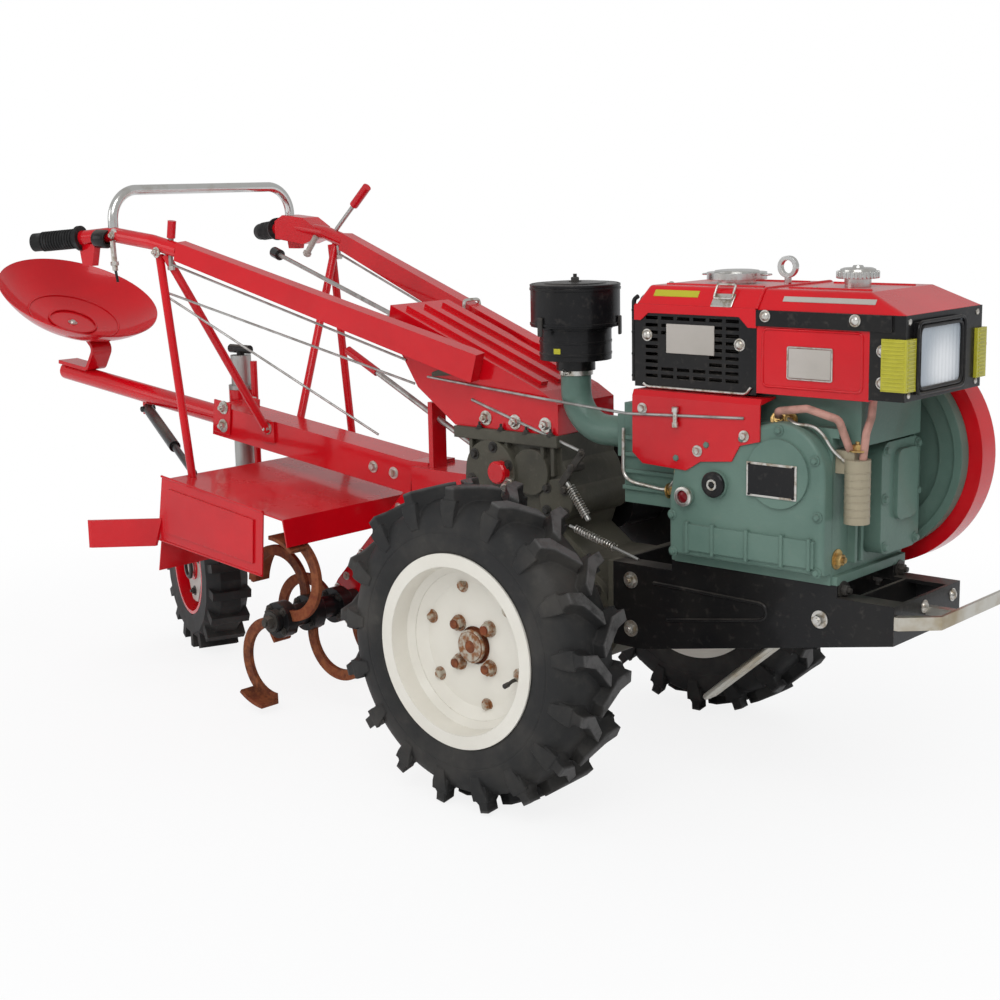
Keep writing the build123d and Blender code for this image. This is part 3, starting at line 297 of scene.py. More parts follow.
class Stock:
    """The metal of one piece, turned, drawn and cut to shape, in mm from the drive axle's foot."""

    def __init__(self):
        self.mesh = bmesh.new()

    def loft(self, rings, ends=True):
        """Skin over rings of points. Without ends the last ring joins the first."""
        rows = [[self.mesh.verts.new(at(*point)) for point in ring] for ring in rings]
        pairs = list(zip(rows, rows[1:])) if ends else list(zip(rows, rows[1:] + rows[:1]))
        for low, high in pairs:
            for place in range(len(low)):
                after = (place + 1) % len(low)
                self.mesh.faces.new((low[place], low[after], high[after], high[place]))
        if ends:
            self.mesh.faces.new(rows[0][::-1])
            self.mesh.faces.new(rows[-1])
        return self

    def turned(self, centre, axis, profile, sides=24, ends=True):
        """Turned about an axis, from (distance along it, radius) points."""
        axis = Vector(axis).normalized()
        across = axis.orthogonal().normalized()
        upright = axis.cross(across)
        return self.loft([[Vector(centre) + axis * along + across * wide + upright * high
                           for wide, high in around(sides, radius)] for along, radius in profile], ends)

    def drawn(self, points, radius, bend=0.0, sides=10, closed=False):
        """Rod or tube along a line of points, with rounded bends."""
        points = [Vector(point) for point in points]
        bend_steps = 5
        line = []
        for place, point in enumerate(points):
            inner = closed or 0 < place < len(points) - 1
            if not (bend and inner):
                line.append(point)
                continue
            before, after = points[place - 1] - point, points[(place + 1) % len(points)] - point
            entry = point + before.normalized() * min(bend, before.length * 0.49)
            leave = point + after.normalized() * min(bend, after.length * 0.49)
            for step in range(bend_steps + 1):
                share = step / bend_steps
                line.append(entry.lerp(point, share).lerp(point.lerp(leave, share), share))
        count = len(line)
        across = (line[1] - line[0]).orthogonal().normalized()
        rings = []
        for place, point in enumerate(line):
            ahead = line[(place + 1) % count] if closed or place < count - 1 else point
            back = line[place - 1] if closed or place else point
            way = (ahead - back).normalized()
            across = (across - way * across.dot(way)).normalized()
            upright = way.cross(across)
            rings.append([point + across * wide + upright * high for wide, high in around(sides, radius)])
        return self.loft(rings, not closed)

    def block(self, centre, along, across, sizes, chamfer=1.0):
        """Bar or plate with broken edges: sizes along, across and through it."""
        along, across = Vector(along).normalized(), Vector(across).normalized()
        through = along.cross(across)
        a, b, c = (size / 2 for size in sizes)

        def ring(depth, inset):
            corners = ((a, b), (-a, b), (-a, -b), (a, -b))
            out = []
            for u, v in corners:
                du, dv = math.copysign(inset, u), math.copysign(inset, v)
                ku, kv = math.copysign(chamfer, u), math.copysign(chamfer, v)
                first, second = (u - du - ku, v - dv), (u - du, v - dv - kv)
                out += [second, first] if u * v > 0 else [first, second]
            return [Vector(centre) + along * u + across * v + through * depth for u, v in out]

        return self.loft([ring(-c, chamfer), ring(chamfer - c, 0), ring(c - chamfer, 0), ring(c, chamfer)])

    def bolt(self, place, axis, flats=13, stub=0.0):
        """Hexagon head on a washer, with the thread's end where a stub shows."""
        self.turned(place, axis, [(-1, flats * 0.9), (1.6, flats * 0.9), (1.6, flats * 0.5)], 20)
        wide = flats / math.sqrt(3)
        self.turned(place, axis, [(1, wide), (flats * 0.5, wide), (flats * 0.62, wide * 0.86)], 6)
        if stub:
            self.turned(place, axis, [(flats * 0.6, flats * 0.27), (flats * 0.6 + stub, flats * 0.27)], 12)
        return self

    def bolts(self, places, flats, stub=0.0):
        """The same bolts through the right side and through the left."""
        for place in both(places):
            self.bolt(place, (0, place[1], 0), flats, stub)
        return self

    def dome(self, place, axis, radius=8.0):
        """Round-headed screw."""
        return self.turned(place, axis, [
            (-1, radius * 1.25), (1.2, radius * 1.25), (1.2, radius), (radius * 0.4, radius * 0.9),
            (radius * 0.68, radius * 0.55), (radius * 0.75, radius * 0.1)], 18)

    def made(self, name, finish, slot, body="frame", crease=35):
        """Ends the piece: its mesh, its finish and the body it rides on. The slot is not used."""
        bmesh.ops.recalc_face_normals(self.mesh, faces=self.mesh.faces)
        data = bpy.data.meshes.new(name)
        self.mesh.to_mesh(data)
        self.mesh.free()
        data.polygons.foreach_set("use_smooth", [True] * len(data.polygons))
        data.set_sharp_from_angle(angle=math.radians(crease))
        data.materials.append(finish.owner)
        piece = placed(name, data)
        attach(piece, body)
        return piece


zinc = Finish("dull zinc")
zinc_spangle = clouds(zinc, 60, 3)
zinc_stain = clouds(zinc, 9, 5).above(0.48, 0.7)
surface(zinc, zinc.mixed(zinc_stain, (0.62, 0.60, 0.54), (0.40, 0.33, 0.22)), zinc_spangle * 0.25 + 0.24,
        metallic=0.85, bump=zinc_spangle, bump_depth=0.0004, rounding=0.001)
dress(zinc, "bumper_strap", "front_stand")

bright = grained("plated bolts", (90, 4), (0.45, 0.7), ((0.66, 0.64, 0.60), (0.36, 0.30, 0.22)),
                 (0.3, 0.18), metallic=0.9)
dull = painted("blackened bolts", (0.03, 0.029, 0.027), (0.055, 0.048, 0.04), (0.25, 0.2, 0.16), 0.42,
               dust=0.3, rounding=0.0006)
brass = grained("brass", (70, 5), (0.4, 0.7), ((0.62, 0.42, 0.16), (0.30, 0.19, 0.08)),
                (0.35, 0.2), metallic=0.9)

to_front, to_rear, to_left, to_right, to_top = (1, 0, 0), (-1, 0, 0), (0, 1, 0), (0, -1, 0), (0, 0, 1)

# Bolts through the rails' webs, and two round-headed ones that hold the strap to the nose plate.
rail_web = 115
rail_bolts = Stock().bolts([(539, rail_web, 369), (150, rail_web, 380), (150, rail_web, 290)], 17, 4)
for y in (-12, 88):
    rail_bolts.dome((674, y, 391), to_front, 9)
rail_bolts.made("rail_bolts", bright, "bare_steel")

# Pressed beads stiffen the webs, and hold-down bolts go through the bearers under the engine.
rail_beads = Stock()
for y in (-rail_web, rail_web):
    rail_beads.drawn([(200, y, 382), (430, y, 378), (438, y, 364), (430, y, 350), (230, y, 318)], 3, 12)
rail_beads.made("rail_beads", black_paint, "black_paint")

bearer = 96
bearer_bolts = Stock()
for place in both([(570, bearer, 420)]):
    bearer_bolts.bolt(place, to_front, 17, 6)
for place in both([(x, bearer, 404) for x in (280, 400, 530)]):
    bearer_bolts.bolt(place, (0, 0, -1), 17, 8)
bearer_bolts.made("bearer_bolts", dull, "black_paint")

# ---- Gearbox and tiller drive
# Sand castings, machined where they join. The gearbox is in a thin olive grey paint with oil and
# soil in its corners; the tiller's chain case is sprayed red with the rest of the tiller.
cast_olive = painted("gearbox paint", (0.098, 0.092, 0.068), (0.05, 0.047, 0.037), (0.16, 0.13, 0.10), 0.48,
                     peel_scale=120, peel=0.0012, dust=0.35, coat=0.1, rounding=0.004)
dress(cast_olive, "gearbox")

# Small bolts close the top flange, and circles of them hold the bearing covers.
# centre x and z, circle's radius, face's distance from the middle, number, first angle
bearing_covers = ((-200, 540, 50, 98, 6, 20), (-160, 430, 42, 92, 5, 10), (-45, 500, 31, 88, 4, 45),
                  (0, 290, 72, 88, 8, 0))
case_bolts = Stock()
for x in (-232, -177, -114, -54):
    for place in both([(x, 90.5, 622)]):
        case_bolts.bolt(place, to_top, 9, 7)
for x, z, circle, face, number, first in bearing_covers:
    case_bolts.bolts([(x + ahead, face, z + high) for ahead, high in around(number, circle, first)], 12)
case_bolts.made("case_bolts", dull, "black_paint")

# Three bolts on each side hold the steering frame to the gearbox.
frame_bolts = Stock().bolts([(-219, 85, 642), (-145, 85, 640), (-70, 85, 640)], 16, 6)
frame_bolts.made("frame_bolts", bright, "bare_steel")

# ---- Engine castings
# The crankcase, gear cover, intake elbow and the flywheel's disc are grey iron castings under one
# coat of grey-green machine paint, a little rough, with dark oil where pieces join.
engine_green = painted("engine paint", (0.140, 0.222, 0.182), (0.098, 0.168, 0.138), (0.17, 0.16, 0.14), 0.34,
                       peel_scale=150, peel=0.0009, dust=0.2, coat=0.12, rounding=0.003)
dress(engine_green, "engine_block", "gear_cover", "intake_elbow", "flywheel")

# Screws close the front and rear covers and the gear cover on the right.
front_face, rear_face, cover_face = 594, 100, -150
gear_cover_screws = ((276, 620), (338, 648), (408, 664), (478, 684), (546, 640), (552, 548), (552, 456),
                     (268, 456), (266, 520))
cover_bolts = Stock()
for y, z in ((-6, 478), (102, 478), (-6, 642), (102, 642), (-8, 560), (104, 560)):
    cover_bolts.bolt((front_face, y, z), to_front, 11)
for y, z in ((-14, 560), (-14, 660), (73, 560), (73, 660)):
    cover_bolts.bolt((rear_face, y, z), to_rear, 13)
for x, z in gear_cover_screws:
    cover_bolts.bolt((x, cover_face, z), to_right, 10)
cover_bolts.made("cover_bolts", engine_green, "engine_paint")

# The engine's plate is a black one in a bright frame, left blank.
plate_x, plate_z = 468, 600
plate_frame = Stock().block((plate_x, -156, plate_z), to_front, to_top, (96, 58, 2), 0.6)
plate_frame.made("name_plate_frame", bright, "bare_steel")
plate_field = Stock().block((plate_x, -157.4, plate_z), to_front, to_top, (88, 50, 1.6), 0.4)
for x, z in ((-42, 25), (42, 25), (-42, -25), (42, -25)):
    plate_field.dome((plate_x + x, -157.6, plate_z + z), to_right, 1.8)
plate_field.made("name_plate", black_paint, "black_paint")

# A black oil filler cap with a bright rim, and a sight glass with a red float beside it.
oil_filler, oil_sight = (357, -158, 583), (296, -157, 556)
oil_cap = Stock().turned(oil_filler, to_right, [
    (0, 22), (5, 22), (7, 20), (7, 10), (4, 9), (4, 4), (8, 4), (8, 1)], 32)
oil_cap.made("oil_cap", black_paint, "black_paint")
oil_ring = Stock().turned(oil_filler, to_right, [(6, 10), (8.5, 9.5), (8.5, 6), (6, 5.5)], 28, False)
oil_ring.made("oil_cap_ring", bright, "bare_steel")
sight_rim = Stock().turned(oil_sight, to_right, [
    (-1, 17), (6, 17), (7, 15), (7, 11), (3, 11), (-1, 12)], 28, False)
sight_rim.made("sight_rim", bright, "bare_steel")
red_glass = painted("red float", (0.20, 0.008, 0.012), (0.10, 0.004, 0.008), (0.2, 0.05, 0.05), 0.12, dust=0,
                    chips=0)
sight = Stock().turned(oil_sight, to_right, [(-0.5, 11), (3, 11), (5.5, 7), (6.4, 1)], 24)
sight.made("sight_glass", red_glass, "red_paint")

# Pipes of drawn steel with brass unions run from the pump to the injector and back.
pipes = Stock()
pipes.drawn([(133, -112, 655), (133, -114, 572), (150, -114, 560), (232, -118, 553), (258, -124, 580)],
            3.2, 14)
pipes.drawn([(478, -122, 700), (500, -134, 693), (530, -132, 694), (548, -128, 680), (560, -122, 655),
             (578, -110, 636)], 3, 14)
pipes.drawn([(256, -120, 590), (270, -132, 600), (300, -140, 606), (318, -146, 604)], 3.2, 8)
pipes.made("fuel_pipes", bright, "bare_steel")
unions = Stock()
for place, axis, flats in (((236, -117, 553), (1, 0, 0.1), 15), ((262, -118, 588), (0, -1, 0.2), 16),
                           ((286, -120, 598), (0, -1, 0.3), 13), ((560, -100, 471), to_front, 19),
                           ((450, -105, 694), (0.4, -1, 0.4), 16), ((478, -112, 698), to_right, 13),
                           ((594, -98, 654), to_top, 17)):
    unions.bolt(place, axis, flats, 5)
unions.made("unions", brass, "bare_steel")

# The red head shield is held by three bolts, with a small bleeder screw standing on it.
shield_bolts = Stock()
for x, z in ((413, 669), (320, 636), (205, 700)):
    shield_bolts.bolt((x, -153, z), to_right, 11)
shield_bolts.turned((278, -159, 674), to_top, [
    (0, 3.5), (0, 5.5), (8, 5.5), (8, 4), (26, 4), (26, 6), (34, 6), (35, 4)], 14)
shield_bolts.made("shield_bolts", bright, "bare_steel")

# ---- Red sheet metal
# Pressed steel sheet and welded box section in a deep gloss red enamel, baked after spraying. The
# air cleaner, guards, pulley and rotor are sprayed black like the chassis.
enamel = painted("red enamel", (0.66, 0.003, 0.010), (0.52, 0.002, 0.008), (0.09, 0.05, 0.04), 0.2,
                 peel_scale=220, peel=0.0003, dust=0.05, chips=0.4, coat=0.5)
dress(enamel, "head_shield", "fuel_tank", "hood_top", "steering_frame", "right_handlebar", "left_handlebar",
      "tool_beam", "seat_tube", "seat_pan", "seat_leaf", "tiller_case", "tiller_hood", "tail_sleeve", "stays",
      "footrests", "lever_handles", "flywheel_rim", "tail_rim")
dress(black_paint, "air_cleaner", "muffler", "radiator_guard", "lamp_housing", "clutch_pulley", "rotor_shaft",
      "tail_handle", "depth_strut")

# ---- Hood and tank
# The hood is one pressing with a seam over the joint of radiator and tank; blank plates, a clip and
# two stickers' fields are on its near slope, and round-headed screws hold the black strap.
hood_side, slope_foot, crown = 130, 876, 909
slope_rise = Vector((0, 24, 33))
slope_out = Vector((0, -33, 24)).normalized()


def on_slope(x, share, out=0.0):
    """A place on the hood's right slope, from its foot (0) to its crown (1), in mm."""
    return Vector((x, -hood_side, slope_foot)) + slope_rise * share + slope_out * out


seam_x, seam_side = 421, 131.5
seam = Stock()
seam.drawn([(seam_x, -seam_side, 877), (seam_x, -107, 909.5), (seam_x, 107, 909.5), (seam_x, seam_side, 877)],
           2.4, 8)
for y in (-72, 72):
    for rear, front in ((200, 398), (446, 598)):
        seam.drawn([(rear, y, crown - 0.4), (front, y, crown - 0.4)], 2.6, sides=12)
seam.made("hood_beads", enamel, "red_paint")

lime = painted("lime sticker", (0.50, 0.46, 0.03), (0.40, 0.38, 0.03), (0.3, 0.25, 0.1), 0.3, dust=0.1,
               chips=0.2)
sticker = Stock().block(on_slope(250, 0.62, 0.3), to_front, slope_rise, (92, 13, 1.2), 0.4)
sticker.made("hood_sticker", lime, "lamp_plastic")
pale = painted("pale plate", (0.50, 0.46, 0.42), (0.40, 0.37, 0.33), (0.3, 0.25, 0.2), 0.35, dust=0.15,
               chips=0.3)
plates = Stock()
plates.block(on_slope(547, 0.55, 0.3), to_front, slope_rise, (168, 10, 1.2), 0.4)
for x, z, length, height in ((289, 821, 98, 50), (521.5, 792.5, 78, 48)):
    plates.block((x, -hood_side - 1, z), to_front, to_top, (length, height, 2), 0.5)
plates.made("blank_plates", pale, "cream_paint")

# The clip that holds the hood down, a wire frame round the tank's plate, the strap's foot and screws.
trim = Stock()
trim.block(on_slope(350, 0.35, 1.5), to_front, slope_rise, (42, 26, 3), 1)
trim.drawn([on_slope(332, 0.4, 5), on_slope(332, 1.02, 8), on_slope(368, 1.02, 8), on_slope(368, 0.4, 5)],
           2, 4, closed=True)
trim.drawn([(x, -131.2, z) for x, z in ((480.5, 766.5), (562.5, 766.5), (562.5, 818.5), (480.5, 818.5))],
           1.4, 3, sides=8, closed=True)
trim.drawn([(x, -132.5, z) for x, z in ((192, 741), (200, 736), (402, 736), (412, 748))], 2.4, 6)
for side in (-1, 1):
    for x, y, z, radius in ((439, 134, 867, 8), (604, 134, 866, 8), (199, hood_side, 825, 8.5),
                            (388, hood_side, 817, 8.5)):
        trim.dome((x, side * y, z), (0, side, 0), radius)
for x, y in ((200, -60), (488, -60), (200, 60), (488, 60)):
    trim.dome((x, y, crown), to_top, 5)
trim.made("hood_trim", bright, "bare_steel")

tank_beads = Stock()
for y in (-hood_side, hood_side):
    tank_beads.drawn([(433, y, 752), (616, y, 752), (616, y, 846), (433, y, 846)], 2.2, 10, closed=True)
tank_beads.made("tank_beads", enamel, "red_paint")

# The radiator's core stands behind the grille: flat tubes with a pack of fins.
core_x, fins, lowest_fin, fin_pitch = 296, 24, 748, 5
core_paint = painted("core paint", (0.012, 0.012, 0.013), (0.03, 0.028, 0.026), (0.1, 0.08, 0.06), 0.6,
                     dust=0.5)
core = Stock().block((core_x, 0, 806), to_front, to_left, (196, 206, 128), 2)
for count in range(fins):
    core.block((core_x, 0, lowest_fin + fin_pitch * count), to_front, to_left, (204, 222, 1.4), 0.3)
core.made("radiator_core", core_paint, "black_paint")

# A welded guard of thin rod stands behind the hood on the right.
guard_x = 163
guard = Stock()
for y in (-120, -96):
    guard.drawn([(guard_x, y, 742), (guard_x, y, 884), (guard_x + 9, y, 890)], 4, 5, sides=8)
for z in (752, 790, 828, 866):
    guard.drawn([(guard_x, -124, z), (guard_x, -92, z)], 3, sides=8)
    guard.drawn([(guard_x, -120, z), (guard_x + 11, -120, z)], 3, sides=8)
guard.made("rear_guard", black_paint, "black_paint")

# ---- Filler caps
# The radiator's cap is a wide plated lid with ears, the tank's a turned one with a knurled edge.
# Both are steel with a bright plating that has gone a little hazy.
tank_cap_x = 532
cap_parts = Stock()
cap_parts.turned((core_x, 0, 922), to_top, [(6, 40), (9, 38), (10, 30), (10, 1)], 40)
cap_parts.block((core_x, 0, 924), (1, 0.2, 0), (-0.2, 1, 0), (124, 18, 3), 1)
for x, y in around(30, 34):
    cap_parts.block((tank_cap_x + x, y, 929), (x, y, 0), to_top, (3, 11, 3), 0.6)
cap_parts.turned((tank_cap_x, 0, 935), to_top, [(-1, 30), (3, 29), (5, 24), (5, 10), (9, 8), (9, 1)], 36)
chrome = Finish("chrome")
chrome_haze = clouds(chrome, 25, 5)
surface(chrome, chrome.mixed(chrome_haze.above(0.5, 0.75) * 0.4, (0.72, 0.72, 0.70), (0.45, 0.40, 0.33)),
        chrome_haze * 0.22 + 0.08, metallic=1.0, bump=chrome_haze, bump_depth=0.0003)
dress(chrome, "hand_rail", "filler_caps")
cap_parts.made("cap_parts", chrome, "chrome_plate")

# ---- Lamps
# A square headlamp behind a moulded black bezel, with yellow side lamps of ribbed plastic. Small
# round-headed screws hold the housing and the lamps to it.
lamp_face = 690
lamp_fittings = Stock()
for side in (-1, 1):
    for z in (820, 770):
        lamp_fittings.dome((650.5, side * 130, z), (0, side, 0), 8)
for y, z in ((-118, 866), (112, 866), (-118, 752), (112, 752)):
    lamp_fittings.dome((lamp_face, y, z), to_front, 4)
lamp_fittings.made("lamp_screws", bright, "bare_steel")

bezel = Stock()
for inset, out in ((3, 6), (-4, 7)):
    near, far, low, high = -99 + inset, 51 - inset, 756 + inset, 860 - inset
    bezel.drawn([(lamp_face + out, y, z) for y, z in ((near, low), (far, low), (far, high), (near, high))],
                3.2, 14, closed=True)
bezel.made("lamp_bezel", black_paint, "black_paint")

rib_pitch = 6.2
side_ribs = Stock()
for side in (-1, 1):
    for count in range(13):
        z = 762 + rib_pitch * count
        side_ribs.block((673, side * 137.4, z), to_front, to_top, (38, 3.4, 1.6), 0.5)
        side_ribs.block((696.4, side * 121, z), to_left, to_top, (22, 3.4, 1.6), 0.5)
amber = Finish("lamp plastic")
amber_depth = clouds(amber, 60, 2)
surface(amber, amber.mixed(amber_depth, (0.40, 0.37, 0.02), (0.54, 0.50, 0.05)), 0.15, coat=0.5,
        bump=amber_depth, bump_depth=0.0002)
dress(amber, "side_lamps")
side_ribs.made("side_lamp_ribs", amber, "lamp_plastic")

# The glass is fluted. The plated bowl behind it, brightest low down round the bulb, is a painted reflection
# in the glass's colour.
lens = Finish("headlamp glass")
glass_place = lens.node("TexCoord", output="Object")
painted_glint_distance = lens.node("VectorMath", {"operation": "DISTANCE"}, {
    0: glass_place, 1: tuple(at(lamp_face, -10, 790))}, "Value")
flutes = lens.node("TexWave", {"bands_direction": "Y", "wave_type": "BANDS"},
                   {"Vector": glass_place, "Scale": 26.0, "Distortion": 0.4})
# Painted highlight: the glass's colour is light near the bulb and darker away from it.
surface(lens, lens.mixed(painted_glint_distance.above(0.012, 0.075), (0.86, 0.88, 0.90), (0.40, 0.45, 0.50)), 0.1,
        coat=0.8, bump=flutes)
dress(lens, "headlamp")

# A red knob on the left turns the headlamp on.
lamp_knob = Stock().turned((671, 130, 808), to_left, [
    (-1, 5), (24, 5), (26, 9), (42, 9), (45, 6), (45, 1)], 20)
lamp_knob.made("lamp_knob", enamel, "red_paint")

# ---- Air cleaner and muffler
# Two rolled cans stand on the intake elbow, held together by clips and a nut on the lid and
# clamped to the elbow by a plated band. A small label is stuck to the lower can.
cleaner_x, cleaner_y = -8, -70
cans = Stock()
for z, radius in ((902, 83), (896, 83.5), (833, 83.5), (825, 68), (800, 67), (778, 67)):
    cans.turned((cleaner_x, cleaner_y, z), to_top, [
        (-3, radius - 3), (-2, radius), (2, radius), (3, radius - 3)], 64, False)
cans.turned((cleaner_x, cleaner_y, 905), to_top, [(-1, 60), (2, 56), (3, 20), (4, 1)], 48)
cans.made("cleaner_bands", black_paint, "black_paint")
clips = Stock().bolt((cleaner_x, cleaner_y, 908), to_top, 13, 6)
for x, y in around(3, 85, 20):
    clips.block((cleaner_x + x, cleaner_y + y, 830), to_top, (-y, x, 0), (34, 12, 4), 1)
clips.made("cleaner_clips", dull, "black_paint")
elbow_band = Stock()
elbow_band.turned((cleaner_x, cleaner_y, 744), to_top, [(-6, 29), (-6, 31.5), (6, 31.5), (6, 29)], 40, False)
elbow_band.bolt((cleaner_x, -104, 744), to_front, 8, 8)
elbow_band.made("elbow_clamp", bright, "bare_steel")
label = Stock().block((1.5, -135.7, 786), (0.989, 0.146, 0), to_top, (14, 10, 1.2), 0.3)
label.made("cleaner_label", lime, "filter_body")

# ---- Wheels
# Pressed steel rims in cream enamel, bolted to the axle flanges, with cross-ply lug tyres. The axles
# and the tiller's tines are bare steel, left to rust.
axle_z, tyre_middle = 290, 360
cream = painted("cream enamel", (0.80, 0.77, 0.69), (0.72, 0.69, 0.61), (0.30, 0.17, 0.09), 0.3,
                peel_scale=180, peel=0.0004, dust=0.0, chips=0.5, coat=0.3)
dress(cream, "right_rim", "left_rim")

# The tread is scuffed grey on the lugs' faces, which are found by their distance from the axle.
rubber = Finish("tyre rubber")
rubber_scuff = clouds(rubber, 30, 6, roughness=0.7)
rubber_dust = clouds(rubber, 7, 4).above(0.4, 0.72)
from_axle = rubber.node("VectorMath", {"operation": "SUBTRACT"}, {
    0: rubber.node("TexCoord", output="Object"), 1: tuple(at(0, 0, axle_z))})
in_plane = rubber.node("VectorMath", {"operation": "MULTIPLY"}, {0: from_axle, 1: (1, 0, 1)})
lug_height = rubber.node("VectorMath", {"operation": "LENGTH"}, {0: in_plane}, "Value")
scuffed = (lug_height.above(0.283, 0.289) - lug_height.above(0.30, 0.31)) * rubber_scuff.above(0.25, 0.6)
dusty_rubber = rubber.mixed(rubber_dust * 0.5 + rubber_scuff.above(0.5, 0.8) * 0.3,
                            (0.022, 0.022, 0.022), (0.085, 0.078, 0.068))
surface(rubber, rubber.mixed(scuffed, dusty_rubber, (0.095, 0.092, 0.090)), rubber_scuff * 0.25 + 0.42,
        bump=rubber_scuff, bump_depth=0.0012, rounding=0.003)
dress(rubber, "tail_tyre")

# Each tyre is moulded: a round carcass with rings on its walls, and two rows of bent lugs that
# reach over the shoulders and run down the walls as skirts.
# distance from the middle plane, radius
carcass = ((48, 157), (57, 156.5), (61.5, 160), (62.5, 173), (66, 178), (68.5, 196), (68.8, 208),
           (67.4, 209.5), (68.8, 211), (67.5, 226), (64, 238), (58, 250), (46, 259), (26, 264.5), (0, 266.5))
bead_seat = ((50, 172), (-50, 172))
# at the lug's foot and on its top: distance from the middle plane, place along the tread
lug_foot = ((-11, -62), (33, -20), (66, -12), (67, 25), (28, 19), (-11, -22))
lug_top = ((-7, -55), (35, -13), (63, -4), (63, 16), (29, 9), (-7, -33))
# a skirt's sections down the wall: radius, outer reach, width's share
skirt_sections = ((222, 69.6, 0.62), (236, 70.5, 0.8), (252, 69.5, 0.95), (268, 66, 1))
lugs_in_row, tread_radius = 17, 275
lug_pitch = 2 * math.pi / lugs_in_row


def on_tread(turn, middle, row, y, along, radius):
    """A place on a lug: out from the tyre's middle, along the tread and away from the axle, in mm."""
    angle = turn - along / tread_radius
    return (radius * math.cos(angle), middle + row * y, axle_z - radius * math.sin(angle))


for side, name in ((-1, "right"), (1, "left")):
    tyre = Stock()
    middle = side * tyre_middle
    profile = [(-y, r) for y, r in carcass] + [*carcass[-2::-1], *bead_seat]
    tyre.turned((0, middle, axle_z), to_left, profile, 120, False)
    for row in (-1, 1):
        for count in range(lugs_in_row):
            lug = (count - row * side / 4) * lug_pitch, middle, row
            tyre.loft([[on_tread(*lug, y, along, 252 if y < 60 else 240) for y, along in lug_foot],
                       [on_tread(*lug, y, along, 262) for y, along in lug_foot],
                       [on_tread(*lug, y * 0.99, along * 0.97, 274) for y, along in lug_top],
                       [on_tread(*lug, y * 0.97, along * 0.93, 289.5) for y, along in lug_top]])
            tyre.loft([[on_tread(*lug, y, along * wide, radius)
                        for y, along in ((58, 24), (58, -13), (out, -13), (out, 24))]
                       for radius, out, wide in skirt_sections])
    moulded = tyre.made(name + "_lug_tyre", rubber, "tyre_rubber", name + "_wheel", 40)
    soften = moulded.modifiers.new("soften", "BEVEL")
    soften.width, soften.segments = 0.0022, 2
    soften.limit_method, soften.angle_limit = "ANGLE", math.radians(38)
    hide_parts(name + "_tyre")

rusty = Finish("rusty steel")
rust_scale = clouds(rusty, 55, 8, roughness=0.75)
rust_patch = clouds(rusty, 12, 5)
rust_tone = rusty.mixed(rust_patch.above(0.35, 0.65), (0.22, 0.055, 0.025), (0.10, 0.035, 0.022))
surface(rusty, rusty.mixed(rust_scale.above(0.35, 0.68), rust_tone, (0.30, 0.10, 0.04)),
        0.9 - rust_patch * 0.35, metallic=0.25, bump=rust_scale, bump_depth=0.0012, rounding=0.002)
dress(rusty, "tines", "right_axle", "left_axle")

# Hub nuts hold each rim to its axle flange, with an outer ring of disc bolts, a cap over the
# axle's end and the air valve at the edge.
wheel_steel = grained("rusty bolts", (80, 5), (0.38, 0.62), ((0.50, 0.46, 0.38), (0.28, 0.12, 0.05)),
                      (0.4, 0.3), metallic=0.6, bump_depth=0.0006)
for side, name in ((-1, "right"), (1, "left")):
    nuts = Stock()
    face, out = side * 371, (0, side, 0)
    for x, z in around(4, 50, 45):
        nuts.turned((x, face, axle_z + z), out, [(-1, 15), (3, 15), (3, 12), (4, 12)], 20)
        nuts.turned((x, face, axle_z + z), out, [(3, 12.5), (13, 12.5), (15, 10.5)], 6)
    for degrees in (44, 104, 160, 218, 284, 340):
        x, z = on_circle(108, degrees)
        nuts.bolt((x, face, axle_z + z), out, 14)
    nuts.turned((0, face + side * 14, axle_z), out, [
        (-6, 30), (-2, 30), (-1, 27), (0.8, 26), (0.8, 12), (-3, 9), (-3, 1)], 28)
    nuts.made(name + "_wheel_nuts", wheel_steel, "rusty_steel", name + "_wheel")
    stem = (101, face + side * 30, 244)
    valve = Stock().drawn([(98, face - side * 4, 246), (98, face + side * 14, 246), stem], 3.4, 4)
    valve.turned(stem, (0.1, side, -0.07), [(-1, 4.6), (10, 4.6), (11, 3.4), (11, 1)], 14)
    valve.made(name + "_valve", dull, "soft_rubber", name + "_wheel")

# ---- Flywheel and belts
# The flywheel is bolted to the crank with one large nut, with the small pulley outside it. Three
# V-belts, which stay still in the model, run from there to the clutch's larger pulley.
pulley_face = 270
crank, clutch = Vector((478, 0, 612)), Vector((-60, 0, 470))
fly_parts = Stock()
for profile, sides in (([(-2, 34), (4, 34), (4, 28)], 36), ([(3, 27), (19, 27), (22, 23)], 6),
                       ([(20, 14), (28, 14), (30, 12)], 24)):
    fly_parts.turned((crank.x, pulley_face, crank.z), to_left, profile, sides)
for x, z in around(6, 58):
    fly_parts.bolt((crank.x + x, pulley_face, crank.z + z), to_left, 13)
fly_parts.made("flywheel_nut", dull, "black_paint", "flywheel")
clutch_bolts = Stock()
for x, z in around(6, 44, 15):
    clutch_bolts.bolt((clutch.x + x, pulley_face, clutch.z + z), to_left, 12)
clutch_bolts.made("clutch_bolts", bright, "bare_steel", "clutch_pulley")
clutch_nut = Stock()
for profile, sides in (([(-3, 20), (8, 20), (10, 17)], 6), ([(8, 11), (14, 11), (15, 9)], 20)):
    clutch_nut.turned((clutch.x, pulley_face + 6, clutch.z), to_left, profile, sides)
clutch_nut.made("clutch_nut", dull, "black_paint")

soft_black = grained("moulded rubber", (45, 4), (0.45, 0.75), ((0.014, 0.014, 0.014), (0.04, 0.04, 0.04)),
                     (0.2, 0.4), bump_depth=0.0006, rounding=0.0015)
dress(soft_black, "grips", "drive_belts")

